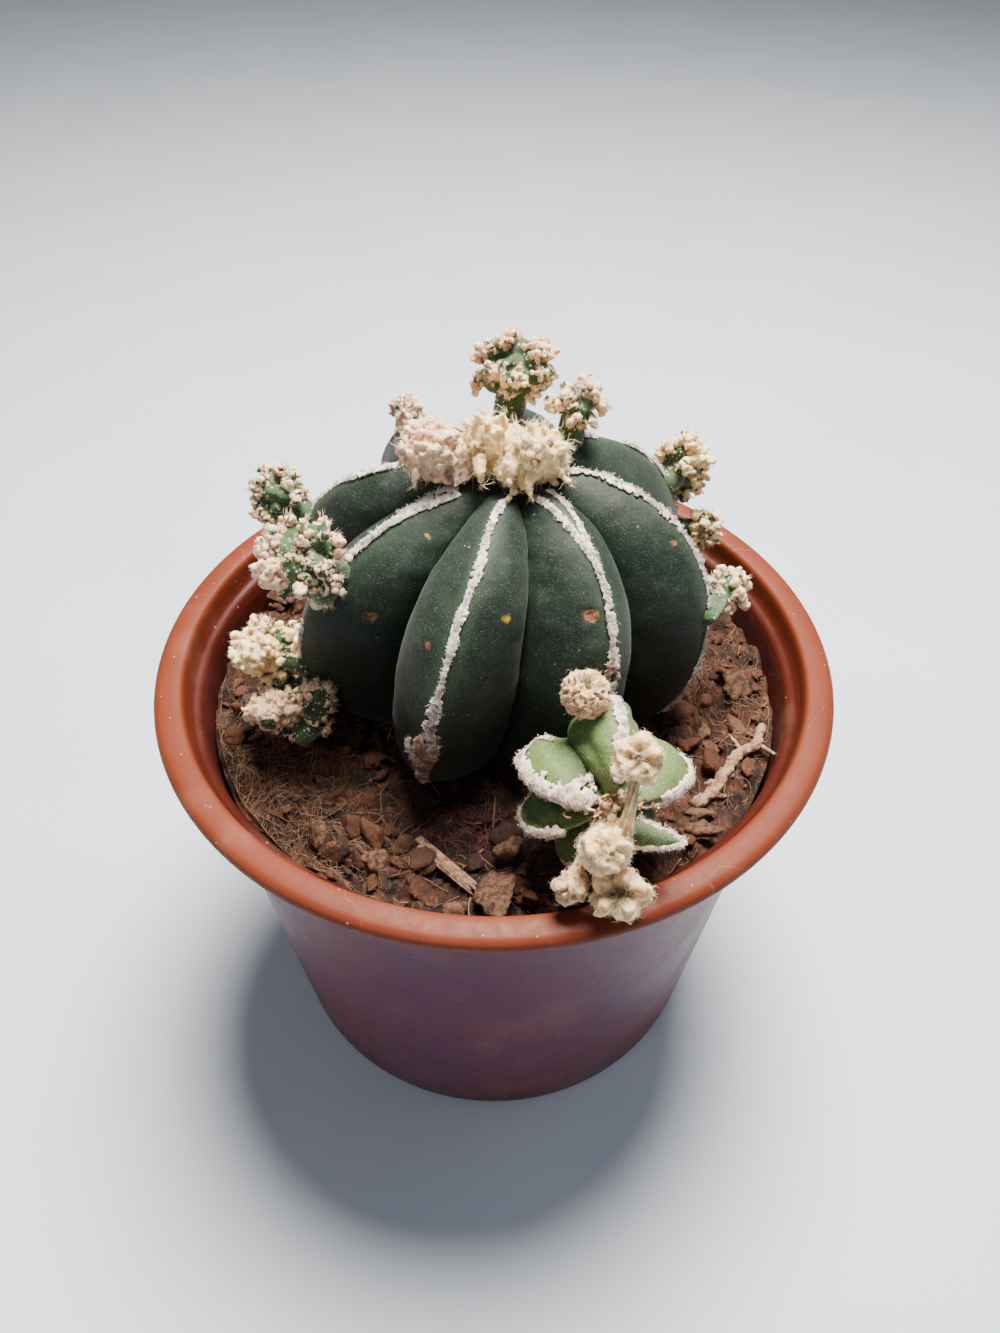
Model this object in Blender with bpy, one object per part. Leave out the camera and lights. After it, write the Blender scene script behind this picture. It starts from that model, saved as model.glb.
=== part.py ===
"""Potted bishop's cap cactus with its offsets, in its plastic pot.

Metres, +Z up. The origin is the middle of the pot's foot, on the surface that it stands on.
-Y is the front. Lengths below are given in millimetres and turned to metres by mm().
"""
import math
import random
from collections import namedtuple

import bmesh
import bpy
from mathutils import Vector
from mathutils.bvhtree import BVHTree

# ---- driving dimensions, in millimetres and degrees ----
GAP = 0.3                   # least gap between neighbouring pieces
WALL_GAP = 1.2 * GAP        # between the soil and the flat facets of the pot's wall
FOOT_GAP = 1.7 * GAP        # between a rib's edge and the foot of an offset on it
REST_GAP = 1.8 * GAP        # between the soil and a loose piece that rests on it

POT_HEIGHT = 90.0
LIP_RADIUS = 60.0
LIP_HEIGHT = 3.1
LIP_INNER_RADIUS = 54.9
LEDGE_DROP = 4.6            # from the top of the lip down to the stacking ledge
POT_WALL = 1.3
OUTER_WALL_TOP = 53.6       # outer wall radius just under the lip
OUTER_WALL_FOOT = 45.9
FOOT_RING_WIDTH = 6.0
FOOT_RECESS = 1.9
FLOOR_THICKNESS = 1.7
DRAIN_HOLES = 8
DRAIN_DIAMETER = 3.8
DRAIN_CIRCLE = 28.0
POT_SEGMENTS = 64

SOIL_LEVEL = 79.7
SOIL_LUMP = 0.9             # height of the soil's lumps from low to high
SOIL_SHELTER = 1.5          # how much lower the soil lies under the stem
SOIL_SEGMENTS = 56
SOIL_BANDS = 10             # rings of faces from the wall to the stem's root

STEM_AXIS = (1.8, 4.6)      # the main stem stands a little behind the pot's axis
STEM_BASE = 80.6
STEM_TOP = 126.0
STEM_EQUATOR = 97.6
STEM_RADIUS = 37.6
STEM_BASE_RADIUS = 27.0
CROWN_DIP = 5.0
GROOVE_RATIO = 0.64         # groove radius against rib radius
GROOVE_DROP = 3.0           # how much lower the grooves run over the top
BASE_GROOVE_RATIO = 0.74    # the same ratio as GROOVE_RATIO, at the base
ROOT_NECK = 12.0
ROOT_TIP_RADIUS = 3.0
ROOT_DEPTH = 20.0

Rib = namedtuple("Rib", "azimuth lean reach")
STEM_RIBS = (
    Rib(-106, -20, 1.00),
    Rib(-61, -24, 0.92),
    Rib(-17, -26, 0.95),
    Rib(30, -24, 0.96),
    Rib(81, -22, 1.00),
    Rib(127, -20, 1.00),
    Rib(167, -24, 0.98),
    Rib(209, -22, 1.00),
)
FLANK_STEPS = (0.0, 0.09, 0.22, 0.36, 0.46, 0.5, 0.54, 0.64, 0.78, 0.91)

# Offsets: the rib whose edge carries the foot, the middle of the head, its half sizes
# (across, deep, high), how many knobs it has and the radius of its neck.
Offset = namedtuple("Offset", "name rib head size knobs neck")
OFFSETS = (
    Offset("offset_back_top", 4, (2.9, 19.0, 133.8), (7.2, 6.0, 5.8), 16, 2.2),
    Offset("offset_back_right", 3, (13.2, 13.5, 130.8), (4.5, 4.2, 4.3), 9, 1.6),
    Offset("offset_back_left", 5, (-16.1, 27.0, 121.6), (2.8, 2.5, 2.5), 6, 0.9),
    Offset("offset_left_upper", 6, (-38.0, 14.0, 112.0), (5.8, 5.6, 5.8), 13, 1.8),
    Offset("offset_left_middle", 7, (-27.6, -14.4, 121.5), (6.9, 6.2, 7.0), 18, 2.0),
    Offset("offset_left_low", 7, (-38.6, -9.6, 97.2), (5.7, 5.0, 5.8), 12, 1.6),
    Offset("offset_left_base", 7, (-36.6, -13.0, 87.6), (8.4, 5.2, 4.3), 15, 1.6),
    Offset("offset_right_upper", 3, (34.0, 25.4, 111.3), (5.4, 5.0, 6.6), 14, 1.8),
    Offset("offset_right_middle", 3, (39.0, 20.6, 101.4), (2.7, 2.6, 4.2), 6, 1.3),
    Offset("offset_right_low", 2, (39.8, 1.7, 101.7), (3.8, 3.6, 4.1), 8, 0.8),
)

HEAD_SEGMENTS = 16
HEAD_RINGS = 10
KNOB_SWELL = 0.12           # height of the knobs against the head's half size

# Woolly growths in the dip of the crown: foot, middle, half sizes, knobs, neck radius.
Tuft = namedtuple("Tuft", "name foot head size knobs neck")
CROWN_TUFTS = (
    Tuft("crown_offset_left", (-0.8, 5.2, 122.8), (-9.8, -0.8, 132.2), (5.5, 4.6, 4.8), 14, 0.9),
    Tuft("crown_wool", (1.9, 7.4, 122.6), (0.6, 3.2, 131.4), (4.6, 4.8, 6.0), 8, 1.3),
    Tuft("crown_offset_right", (4.4, 3.8, 122.8), (9.6, -0.2, 131.0), (4.8, 4.6, 5.6), 14, 0.9),
)

# The front offset, a small ribbed stem of its own that leans out towards the lip.
FRONT_MIDDLE = (15.4, -34.9, 95.8)
FRONT_AXIS = (0.15, -0.89, 0.43)
FRONT_FOOT = (14.0, -29.9)
FRONT_RADIUS = 12.6
FRONT_HEIGHT = 15.0
FRONT_GROOVE_RATIO = 0.5
FRONT_GROOVE_DROP = 3.5
FRONT_DIP = 2.4
FRONT_RIBS = (
    Rib(-141, 0, 1.12),
    Rib(-96, 0, 0.95),
    Rib(-42, 0, 1.14),
    Rib(4, 0, 1.04),
    Rib(97, 0, 0.92),
    Rib(176, 0, 1.06),
)
# Tufts and small offsets of the front offset: middle, half sizes, knobs, neck radius.
Head = namedtuple("Head", "name middle size knobs neck")
FRONT_HEADS = (
    Head("front_ball_top", (13.3, -31.0, 110.7), (4.0, 3.8, 3.8), 14, 1.2),
    Head("front_ball_right", (19.2, -44.6, 112.2), (4.1, 3.9, 4.0), 9, 1.0),
    Head("front_ball_low", (15.0, -52.0, 101.4), (4.2, 3.6, 3.8), 7, 1.2),
    Head("front_offset_left", (10.8, -53.6, 94.9), (2.5, 2.4, 2.6), 6, 0.9),
    Head("front_offset_right", (18.0, -54.6, 94.4), (4.4, 3.6, 3.8), 9, 1.2),
)

TWIG_ENDS = ((-11.2, -37.2), (-3.0, -44.8))
TWIG_RADIUS = 0.85
ROOT_PATH = ((33.6, -28.6), (38.0, -24.6), (41.0, -19.4), (45.6, -15.6), (48.2, -9.8))
ROOT_RADIUS = 1.1
CHIPS = (                   # x, y, length, width, thickness, turn
    (1.6, -46.0, 5.0, 3.4, 2.2, 20),
    (-5.0, -48.8, 3.8, 2.8, 1.8, 75),
    (-18.0, -41.0, 4.4, 3.0, 2.0, 130),
    (-27.5, -36.0, 3.6, 2.6, 1.7, 15),
    (2.5, -38.6, 4.6, 2.8, 1.9, 160),
    (32.6, -34.6, 5.2, 3.4, 2.3, 50),
    (44.0, -2.0, 4.2, 3.0, 1.9, 100),
    (-42.0, 22.0, 4.8, 3.2, 2.1, 35),
)

POT_COLOUR = (0.42, 0.13, 0.072)
SOIL_COLOUR = (0.115, 0.055, 0.032)
SKIN_COLOUR = (0.045, 0.085, 0.055)
FRONT_SKIN_COLOUR = (0.10, 0.19, 0.085)
WOOL_COLOUR = (0.62, 0.50, 0.36)
CREAM_COLOUR = (0.72, 0.62, 0.44)
TWIG_COLOUR = (0.24, 0.13, 0.075)
ROOT_COLOUR = (0.30, 0.19, 0.12)


def mm(value):
    return value * 0.001


def plain_material(name, colour, roughness):
    material = bpy.data.materials.new(name)
    material.use_nodes = True
    shader = material.node_tree.nodes["Principled BSDF"]
    shader.inputs["Base Color"].default_value = (*colour, 1.0)
    shader.inputs["Roughness"].default_value = roughness
    shader.inputs["Metallic"].default_value = 0.0
    return material


def add_object(name, points, faces, material, sharp_angle=40):
    """Make one object from points in millimetres."""
    mesh = bpy.data.meshes.new(name)
    mesh.from_pydata([[mm(value) for value in point] for point in points], [], faces)
    work = bmesh.new()
    work.from_mesh(mesh)
    bmesh.ops.recalc_face_normals(work, faces=work.faces)
    work.to_mesh(mesh)
    work.free()
    mesh.shade_smooth()
    mesh.set_sharp_from_angle(angle=math.radians(sharp_angle))
    mesh.materials.append(material)
    piece = bpy.data.objects.new(name, mesh)
    bpy.context.scene.collection.objects.link(piece)
    return piece


def skin_rings(rings, start, end):
    """Join rings of equal length into one closed surface, with a fan at each end."""
    count = len(rings[0])
    points = [start] + [point for ring in rings for point in ring] + [end]
    faces = []
    for column in range(count):
        following = (column + 1) % count
        faces.append((0, 1 + following, 1 + column))
        for row in range(len(rings) - 1):
            near = 1 + row * count
            far = near + count
            faces.append((near + column, near + following, far + following, far + column))
        last = 1 + (len(rings) - 1) * count
        faces.append((last + column, last + following, len(points) - 1))
    return points, faces


def circle_ring(radius, height, segments):
    angles = [math.tau * step / segments for step in range(segments)]
    return [(radius * math.cos(angle), radius * math.sin(angle), height) for angle in angles]


# ---- pot ----

def inner_wall_radius(height):
    """Radius of the pot's inside wall at a height between its floor and its ledge."""
    foot = FOOT_RECESS + FLOOR_THICKNESS
    ledge = POT_HEIGHT - LEDGE_DROP
    share = (height - foot) / (ledge - foot)
    return OUTER_WALL_FOOT - POT_WALL + share * (OUTER_WALL_TOP - OUTER_WALL_FOOT)


def pot_profile():
    """Radius and height from the middle of the inside floor round to the middle of the underside."""
    floor = FOOT_RECESS + FLOOR_THICKNESS
    ledge = POT_HEIGHT - LEDGE_DROP
    top = POT_HEIGHT
    under_lip = top - LIP_HEIGHT
    foot = OUTER_WALL_FOOT
    return [
        (inner_wall_radius(floor) - 2.0, floor),
        (inner_wall_radius(floor + 1.6), floor + 1.6),
        (inner_wall_radius(ledge) - 0.1, ledge - 0.8),
        (inner_wall_radius(ledge) + 0.6, ledge),
        (LIP_INNER_RADIUS - 0.8, ledge + 0.6),
        (LIP_INNER_RADIUS - 0.35, ledge + 1.6),
        (LIP_INNER_RADIUS, top - 0.4),
        (LIP_INNER_RADIUS + 0.6, top - 0.1),
        (LIP_RADIUS - 2.2, top),
        (LIP_RADIUS - 1.2, top - 0.15),
        (LIP_RADIUS - 0.35, top - 0.8),
        (LIP_RADIUS, top - 1.7),
        (LIP_RADIUS - 0.3, under_lip + 0.5),
        (LIP_RADIUS - 1.1, under_lip),
        (OUTER_WALL_TOP + 2.4, under_lip - 0.5),
        (OUTER_WALL_TOP + 0.7, under_lip - 1.4),
        (OUTER_WALL_TOP, under_lip - 3.2),
        (foot + 0.15, 1.5),
        (foot - 0.25, 0.5),
        (foot - 0.9, 0.0),
        (foot - FOOT_RING_WIDTH, 0.0),
        (foot - FOOT_RING_WIDTH - 0.4, FOOT_RECESS),
    ]


def build_pot():
    profile = pot_profile()
    rings = [circle_ring(radius, height, POT_SEGMENTS) for radius, height in profile]
    points, faces = skin_rings(rings, (0, 0, profile[0][1]), (0, 0, profile[-1][1]))
    pot = add_object("pot", points, faces, plain_material("pot_plastic", POT_COLOUR, 0.38), 32)
    cut_drain_holes(pot)
    return pot


def cut_drain_holes(pot):
    """Round holes through the floor, on one circle."""
    cutter_mesh = bpy.data.meshes.new("drain_cutter")
    work = bmesh.new()
    depth = mm(4 * (FOOT_RECESS + FLOOR_THICKNESS))
    for step in range(DRAIN_HOLES):
        angle = math.tau * (step + 0.5) / DRAIN_HOLES
        added = bmesh.ops.create_cone(
            work, cap_ends=True, segments=12, depth=depth,
            radius1=mm(DRAIN_DIAMETER / 2), radius2=mm(DRAIN_DIAMETER / 2),
        )
        shift = Vector((mm(DRAIN_CIRCLE) * math.cos(angle), mm(DRAIN_CIRCLE) * math.sin(angle), 0))
        bmesh.ops.translate(work, verts=added["verts"], vec=shift)
    work.to_mesh(cutter_mesh)
    work.free()
    cutter = bpy.data.objects.new("drain_cutter", cutter_mesh)
    bpy.context.scene.collection.objects.link(cutter)
    cutter.hide_render = True
    cutter.display_type = "WIRE"
    boolean = pot.modifiers.new("drain_holes", "BOOLEAN")
    boolean.operation = "DIFFERENCE"
    boolean.object = cutter


# ---- soil ----

def soil_height(x, y):
    """Uneven top of the soil, lower under the stem."""
    lump = (
        math.sin(0.31 * x + 0.9) * math.cos(0.27 * y - 0.4)
        + 0.6 * math.sin(0.53 * x - 0.47 * y + 2.1)
        + 0.5 * math.cos(0.71 * y + 0.22 * x)
    )
    from_stem = math.hypot(x - STEM_AXIS[0], y - STEM_AXIS[1])
    shelter = max(0.0, min(1.0, (from_stem - STEM_BASE_RADIUS) / 8.0))
    return SOIL_LEVEL - SOIL_SHELTER * (1.0 - shelter) + SOIL_LUMP * 0.5 * lump * shelter


def soil_ring(share, radius_at, height_at):
    """A ring whose middle moves from the pot's axis to the stem's axis as share goes from 0 to 1."""
    ring = []
    for step in range(SOIL_SEGMENTS):
        angle = math.tau * step / SOIL_SEGMENTS
        x = share * STEM_AXIS[0] + radius_at * math.cos(angle)
        y = share * STEM_AXIS[1] + radius_at * math.sin(angle)
        ring.append((x, y, height_at(x, y)))
    return ring


def build_soil():
    floor = FOOT_RECESS + FLOOR_THICKNESS + GAP
    shoulder = floor + 1.9
    wall = inner_wall_radius(SOIL_LEVEL - 2.0) - WALL_GAP
    rim = wall - 0.5
    rings = [
        soil_ring(0, inner_wall_radius(floor) - 2.6, lambda x, y: floor),
        soil_ring(0, inner_wall_radius(shoulder) - WALL_GAP, lambda x, y: shoulder),
        soil_ring(0, wall, lambda x, y: soil_height(x, y) - 1.2),
        soil_ring(0, rim, soil_height),
    ]
    opening = ROOT_NECK + GAP
    for band in range(1, SOIL_BANDS + 1):
        share = band / SOIL_BANDS
        rings.append(soil_ring(share, (1 - share) * rim + share * opening, soil_height))
    for depth, radius in root_profile():
        level = STEM_BASE - depth - 1.4 * GAP
        rings.append(soil_ring(1, radius + GAP, lambda x, y: level))
    points, faces = skin_rings(rings, (0, 0, floor), (*STEM_AXIS, STEM_BASE - ROOT_DEPTH - 2 * GAP))
    return add_object("potting_soil", points, faces, plain_material("soil", SOIL_COLOUR, 0.95), 30)


# ---- main stem ----

def root_profile():
    """Depth under the stem's base and radius, down the taproot."""
    return ((3.2, ROOT_NECK - 0.6), (7.0, 8.0), (13.0, 5.0), (ROOT_DEPTH, ROOT_TIP_RADIUS))


def profile_pair(place, radius, groove_ratio, groove_drop, base_radius, equator, top, base, dip):
    """Rib edge and groove at one place along the stem, 0 at the crown and 1 at the base."""
    turn_over = 0.62        # share of the way that lies above the equator
    if place <= turn_over:
        angle = math.pi / 2 * place / turn_over
        fullness = 2 / 2.4
        out = math.sin(angle) ** fullness
        up = math.cos(angle) ** fullness
        edge = (radius * out, equator + (top - equator) * up)
        groove = (radius * groove_ratio * out, equator + (top - groove_drop - equator) * up)
        sink = dip * math.exp(-((edge[0] / (0.19 * radius)) ** 2))
        edge = (edge[0], edge[1] - sink)
        groove = (groove[0], groove[1] - sink * 0.5)
    else:
        angle = math.pi / 2 * (place - turn_over) / (1 - turn_over)
        edge = (
            radius - (radius - base_radius) * (1 - math.cos(angle)),
            equator - (equator - base) * math.sin(angle),
        )
        groove_base = base_radius * BASE_GROOVE_RATIO
        groove = (
            radius * groove_ratio - (radius * groove_ratio - groove_base) * (1 - math.cos(angle)),
            edge[1],
        )
    return edge, groove


def flank_weight(across):
    """0 on a rib's edge and 1 in the groove: a corner at the edge, a puffed flank, a tight crease."""
    return 0.45 * across ** 1.2 + 0.55 * (1 - math.sqrt(max(0.0, 1 - across * across)))


def rib_columns(ribs):
    """Every column round the stem: the two ribs beside it and its share of the way between."""
    columns = []
    for index, rib in enumerate(ribs):
        following = ribs[(index + 1) % len(ribs)]
        for share in FLANK_STEPS:
            columns.append((rib, following, share))
    return columns


def stem_point(column, place, shape):
    """Point on the ribbed surface, in the stem's own axes."""
    rib, following, share = column
    near = rib.azimuth + rib.lean * (place - 0.5)
    far = following.azimuth + following.lean * (place - 0.5)
    azimuth = math.radians(near + share * ((far - near) % 360))
    blend = 0.5 - 0.5 * math.cos(math.pi * share)
    reach = rib.reach * (1 - blend) + following.reach * blend
    edge, groove = profile_pair(place, **shape)
    weight = flank_weight(1 - abs(2 * share - 1))
    weight *= min(1.0, edge[0] / (0.3 * shape["radius"]))
    across = reach * (edge[0] + (groove[0] - edge[0]) * weight)
    height = edge[1] + (groove[1] - edge[1]) * weight
    return Vector((across * math.cos(azimuth), across * math.sin(azimuth), height))


STEM_SHAPE = dict(
    radius=STEM_RADIUS, groove_ratio=GROOVE_RATIO, groove_drop=GROOVE_DROP, base_radius=STEM_BASE_RADIUS,
    equator=STEM_EQUATOR, top=STEM_TOP, base=STEM_BASE, dip=CROWN_DIP,
)
STEM_PLACES = (0.05, 0.1, 0.15, 0.2, 0.26, 0.33, 0.4, 0.47, 0.54, 0.61, 0.68, 0.75, 0.82, 0.88, 0.94, 1.0)
FRONT_PLACES = (0.08, 0.18, 0.3, 0.42, 0.54, 0.66, 0.78, 0.9, 1.0)


def build_main_stem():
    columns = rib_columns(STEM_RIBS)
    shift = Vector((*STEM_AXIS, 0))
    rings = [[stem_point(column, place, STEM_SHAPE) + shift for column in columns] for place in STEM_PLACES]
    underside = rings[-1]
    for share, drop in ((0.55, 0.5), (1.0, 0.7)):
        ring = []
        for point in underside:
            flat = Vector((point.x - STEM_AXIS[0], point.y - STEM_AXIS[1], 0))
            inward = flat.normalized() * ROOT_NECK
            place = flat.lerp(inward, share)
            ring.append(Vector((place.x, place.y, STEM_BASE - drop)) + shift)
        rings.append(ring)
    for depth, radius in root_profile():
        ring = []
        for point in rings[-1]:
            flat = Vector((point.x - STEM_AXIS[0], point.y - STEM_AXIS[1], 0)).normalized() * radius
            ring.append(Vector((flat.x, flat.y, STEM_BASE - depth)) + shift)
        rings.append(ring)
    crown = Vector((*STEM_AXIS, STEM_TOP - CROWN_DIP))
    tip = Vector((*STEM_AXIS, STEM_BASE - ROOT_DEPTH - GAP))
    points, faces = skin_rings(rings, crown, tip)
    return add_object("main_stem", points, faces, plain_material("green_skin", SKIN_COLOUR, 0.72), 38)


def rib_edge_point(rib_index, place):
    """Point on a rib's edge and the way out from it."""
    column = (STEM_RIBS[rib_index], STEM_RIBS[(rib_index + 1) % len(STEM_RIBS)], 0.0)
    shift = Vector((*STEM_AXIS, 0))
    here = stem_point(column, place, STEM_SHAPE) + shift
    ahead = stem_point(column, min(1.0, place + 0.01), STEM_SHAPE) + shift
    along = (ahead - here).normalized()
    radial = Vector((here.x - STEM_AXIS[0], here.y - STEM_AXIS[1], 0)).normalized()
    side = Vector((-radial.y, radial.x, 0))
    outward = along.cross(side)
    if outward.dot(radial) + outward.z < 0:
        outward = -outward
    return here, outward.normalized()


# ---- offsets and woolly tufts ----

def knob_directions(count, rng):
    """Directions spread evenly over a head, with a little disorder."""
    golden = math.pi * (3 - math.sqrt(5))
    found = []
    for index in range(count):
        height = 1 - 1.7 * (index + 0.5) / count
        angle = golden * index + rng.uniform(-0.3, 0.3)
        flat = math.sqrt(max(0.0, 1 - height * height))
        found.append(Vector((flat * math.cos(angle), flat * math.sin(angle), height)).normalized())
    return found


def knobbly_head(name, foot, head, size, knobs, neck, material):
    """A short neck that widens into a head of woolly knobs."""
    rng = random.Random(name)
    foot = Vector(foot)
    head = Vector(head)
    axis = (head - foot).normalized()
    turn = Vector((0, 0, 1)).rotation_difference(axis)
    directions = knob_directions(knobs, rng)
    spread = 1.5 / math.sqrt(knobs)

    def head_point(polar, angle):
        direction = Vector((
            math.sin(polar) * math.cos(angle), math.sin(polar) * math.sin(angle), math.cos(polar),
        ))
        nearest = min(direction.angle(knob) for knob in directions)
        swell = 0.9 + KNOB_SWELL * math.exp(-((nearest / spread) ** 2))
        turned = turn @ direction
        return head + Vector([half * value * swell for half, value in zip(size, turned)])

    reach = (head - foot).length
    rings = []
    for share, widening in ((0.0, 0.3), (0.4, 1.0)):
        along = share * (reach - min(size) * 0.9)
        ring = []
        for step in range(HEAD_SEGMENTS):
            angle = math.tau * step / HEAD_SEGMENTS
            width = neck * widening
            local = Vector((width * math.cos(angle), width * math.sin(angle), along))
            ring.append(foot + turn @ local)
        rings.append(ring)
    lowest = math.pi - math.asin(min(0.8, 1.25 * neck / min(size)))
    for row in range(HEAD_RINGS):
        polar = lowest * (1 - row / HEAD_RINGS)
        rings.append([head_point(polar, math.tau * step / HEAD_SEGMENTS) for step in range(HEAD_SEGMENTS)])
    points, faces = skin_rings(rings, foot, head_point(0.0, 0.0))
    return add_object(name, points, faces, material, 60)


def nearest_place(rib_index, target):
    """Place along a rib's edge that lies nearest to a point."""
    places = [0.08 + 0.01 * step for step in range(90)]
    return min(places, key=lambda place: (rib_edge_point(rib_index, place)[0] - target).length)


def build_offsets():
    wool = plain_material("offset_wool", WOOL_COLOUR, 0.95)
    for offset in OFFSETS:
        edge, outward = rib_edge_point(offset.rib, nearest_place(offset.rib, Vector(offset.head)))
        foot = edge + outward * FOOT_GAP
        knobbly_head(offset.name, foot, offset.head, offset.size, offset.knobs, offset.neck, wool)


def build_crown():
    wool = plain_material("crown_cream_wool", CREAM_COLOUR, 0.95)
    for tuft in CROWN_TUFTS:
        knobbly_head(*tuft, wool)


# ---- front offset ----

def surface_tree(piece):
    mesh = piece.data
    return BVHTree.FromPolygons(
        [vertex.co for vertex in mesh.vertices], [face.vertices for face in mesh.polygons])


def build_front_offset():
    """A small ribbed stem on its own foot, its crown turned forward and a little up."""
    axis = Vector(FRONT_AXIS).normalized()
    middle = Vector(FRONT_MIDDLE)
    level = Vector((1, 0, 0))
    level = (level - axis * level.dot(axis)).normalized()
    upward = axis.cross(level)
    equator = FRONT_HEIGHT * 0.3
    shape = dict(
        radius=FRONT_RADIUS, groove_ratio=FRONT_GROOVE_RATIO, groove_drop=FRONT_GROOVE_DROP,
        base_radius=FRONT_RADIUS * 0.6, equator=equator, top=FRONT_HEIGHT, base=0.0, dip=FRONT_DIP,
    )

    def placed(local):
        return middle + level * local.x + upward * local.y + axis * (local.z - equator)

    columns = rib_columns(FRONT_RIBS)
    rings = [[placed(stem_point(column, place, shape)) for column in columns] for place in FRONT_PLACES]
    underside = rings[-1]
    base = placed(Vector((0, 0, 0)))
    foot = Vector((*FRONT_FOOT, soil_height(*FRONT_FOOT) + REST_GAP))
    flat_back = Vector((0, 1, 0))
    for share, radius in ((0.5, 4.4), (0.97, 3.4)):
        turned = upward.lerp(flat_back, share).normalized()
        ring = []
        for point in underside:
            spoke = point - base
            angle = math.atan2(spoke.dot(upward), spoke.dot(level))
            rim_point = radius * (level * math.cos(angle) + turned * math.sin(angle))
            ring.append(base.lerp(foot, share) + rim_point)
        rings.append(ring)
    lowest = min(point.z for point in rings[-1])
    for point in rings[-1]:
        point.z += foot.z - lowest
    top = placed(Vector((0, 0, FRONT_HEIGHT - FRONT_DIP)))
    points, faces = skin_rings(rings, top, foot)
    skin = plain_material("front_green_skin", FRONT_SKIN_COLOUR, 0.66)
    front = add_object("front_offset", points, faces, skin, 38)
    build_front_heads(front)


def build_front_heads(front):
    """Woolly heads that grow straight off the front offset where it comes nearest to them."""
    wool = plain_material("front_wool", CREAM_COLOUR, 0.95)
    tree = surface_tree(front)
    for head in FRONT_HEADS:
        middle = Vector(head.middle)
        nearest = tree.find_nearest(middle * 0.001)[0] * 1000
        foot = nearest + (middle - nearest).normalized() * 1.2 * GAP
        knobbly_head(head.name, foot, middle, head.size, head.knobs, head.neck, wool)


# ---- loose pieces on the soil ----

START_HEIGHT = POT_HEIGHT + 10      # loose pieces are made here and then lowered


def settle(piece, ground):
    """Lower a piece onto the soil until the nearest points are one gap apart."""
    soil_tree = surface_tree(ground)
    piece_tree = surface_tree(piece)
    drops = []
    for vertex in piece.data.vertices:
        hit = soil_tree.ray_cast(vertex.co, Vector((0, 0, -1)))[0]
        if hit:
            drops.append((vertex.co - hit).length)
    for vertex in ground.data.vertices:
        hit = piece_tree.ray_cast(vertex.co, Vector((0, 0, 1)))[0]
        if hit:
            drops.append((hit - vertex.co).length)
    fall = min(drops) - mm(REST_GAP)
    for vertex in piece.data.vertices:
        vertex.co.z -= fall


def rough_rod(name, path, radius, material, ground, seed):
    """A crooked rod lying along a path, with swellings on the way."""
    rng = random.Random(seed)
    segments = 8
    rings = []
    for index, (x, y) in enumerate(path):
        before = path[max(0, index - 1)]
        after = path[min(len(path) - 1, index + 1)]
        along = Vector((after[0] - before[0], after[1] - before[1], 0)).normalized()
        side = Vector((-along.y, along.x, 0))
        swell = radius * rng.uniform(0.8, 1.2)
        ring = []
        for step in range(segments):
            angle = math.tau * step / segments
            ring.append(
                Vector((x, y, START_HEIGHT)) + side * swell * math.cos(angle)
                + Vector((0, 0, swell * math.sin(angle)))
            )
        rings.append(ring)
    ends = [Vector((*path[0], START_HEIGHT)), Vector((*path[-1], START_HEIGHT))]
    points, faces = skin_rings(rings, *ends)
    piece = add_object(name, points, faces, material, 50)
    settle(piece, ground)


def bark_chip(name, chip, material, ground):
    """A broken flake of bark with uneven corners."""
    x, y, length, width, thickness, turn = chip
    rng = random.Random(name)
    corners = 7
    heading = math.radians(turn)
    rings = []
    for level, share in ((0.0, 0.8), (0.45, 1.0), (1.0, 0.7)):
        ring = []
        for step in range(corners):
            angle = math.tau * step / corners
            along = 0.5 * length * share * math.cos(angle) * rng.uniform(0.8, 1.15)
            across = 0.5 * width * share * math.sin(angle) * rng.uniform(0.8, 1.15)
            ring.append(Vector((
                x + along * math.cos(heading) - across * math.sin(heading),
                y + along * math.sin(heading) + across * math.cos(heading),
                START_HEIGHT + thickness * level,
            )))
        rings.append(ring)
    low = Vector((x, y, START_HEIGHT))
    high = Vector((x, y, START_HEIGHT + thickness))
    points, faces = skin_rings(rings, low, high)
    piece = add_object(name, points, faces, material, 25)
    settle(piece, ground)


def build_litter(ground):
    twig = plain_material("dry_twig", TWIG_COLOUR, 0.85)
    root = plain_material("pale_root", ROOT_COLOUR, 0.85)
    bark = plain_material("bark", SOIL_COLOUR, 0.95)
    (start_x, start_y), (end_x, end_y) = TWIG_ENDS
    steps = 4
    twig_path = [
        (start_x + (end_x - start_x) * step / steps, start_y + (end_y - start_y) * step / steps)
        for step in range(steps + 1)
    ]
    rough_rod("twig", twig_path, TWIG_RADIUS, twig, ground, 3)
    rough_rod("loose_root", ROOT_PATH, ROOT_RADIUS, root, ground, 8)
    for number, chip in enumerate(CHIPS, 1):
        bark_chip(f"bark_chip_{number}", chip, bark, ground)


def main():
    for old in list(bpy.data.objects):
        bpy.data.objects.remove(old, do_unlink=True)
    build_pot()
    soil = build_soil()
    build_main_stem()
    build_crown()
    build_offsets()
    build_front_offset()
    build_litter(soil)


main()
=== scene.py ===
import math
import bmesh
import bpy
import numpy as np
from mathutils import Matrix, Vector


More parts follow.
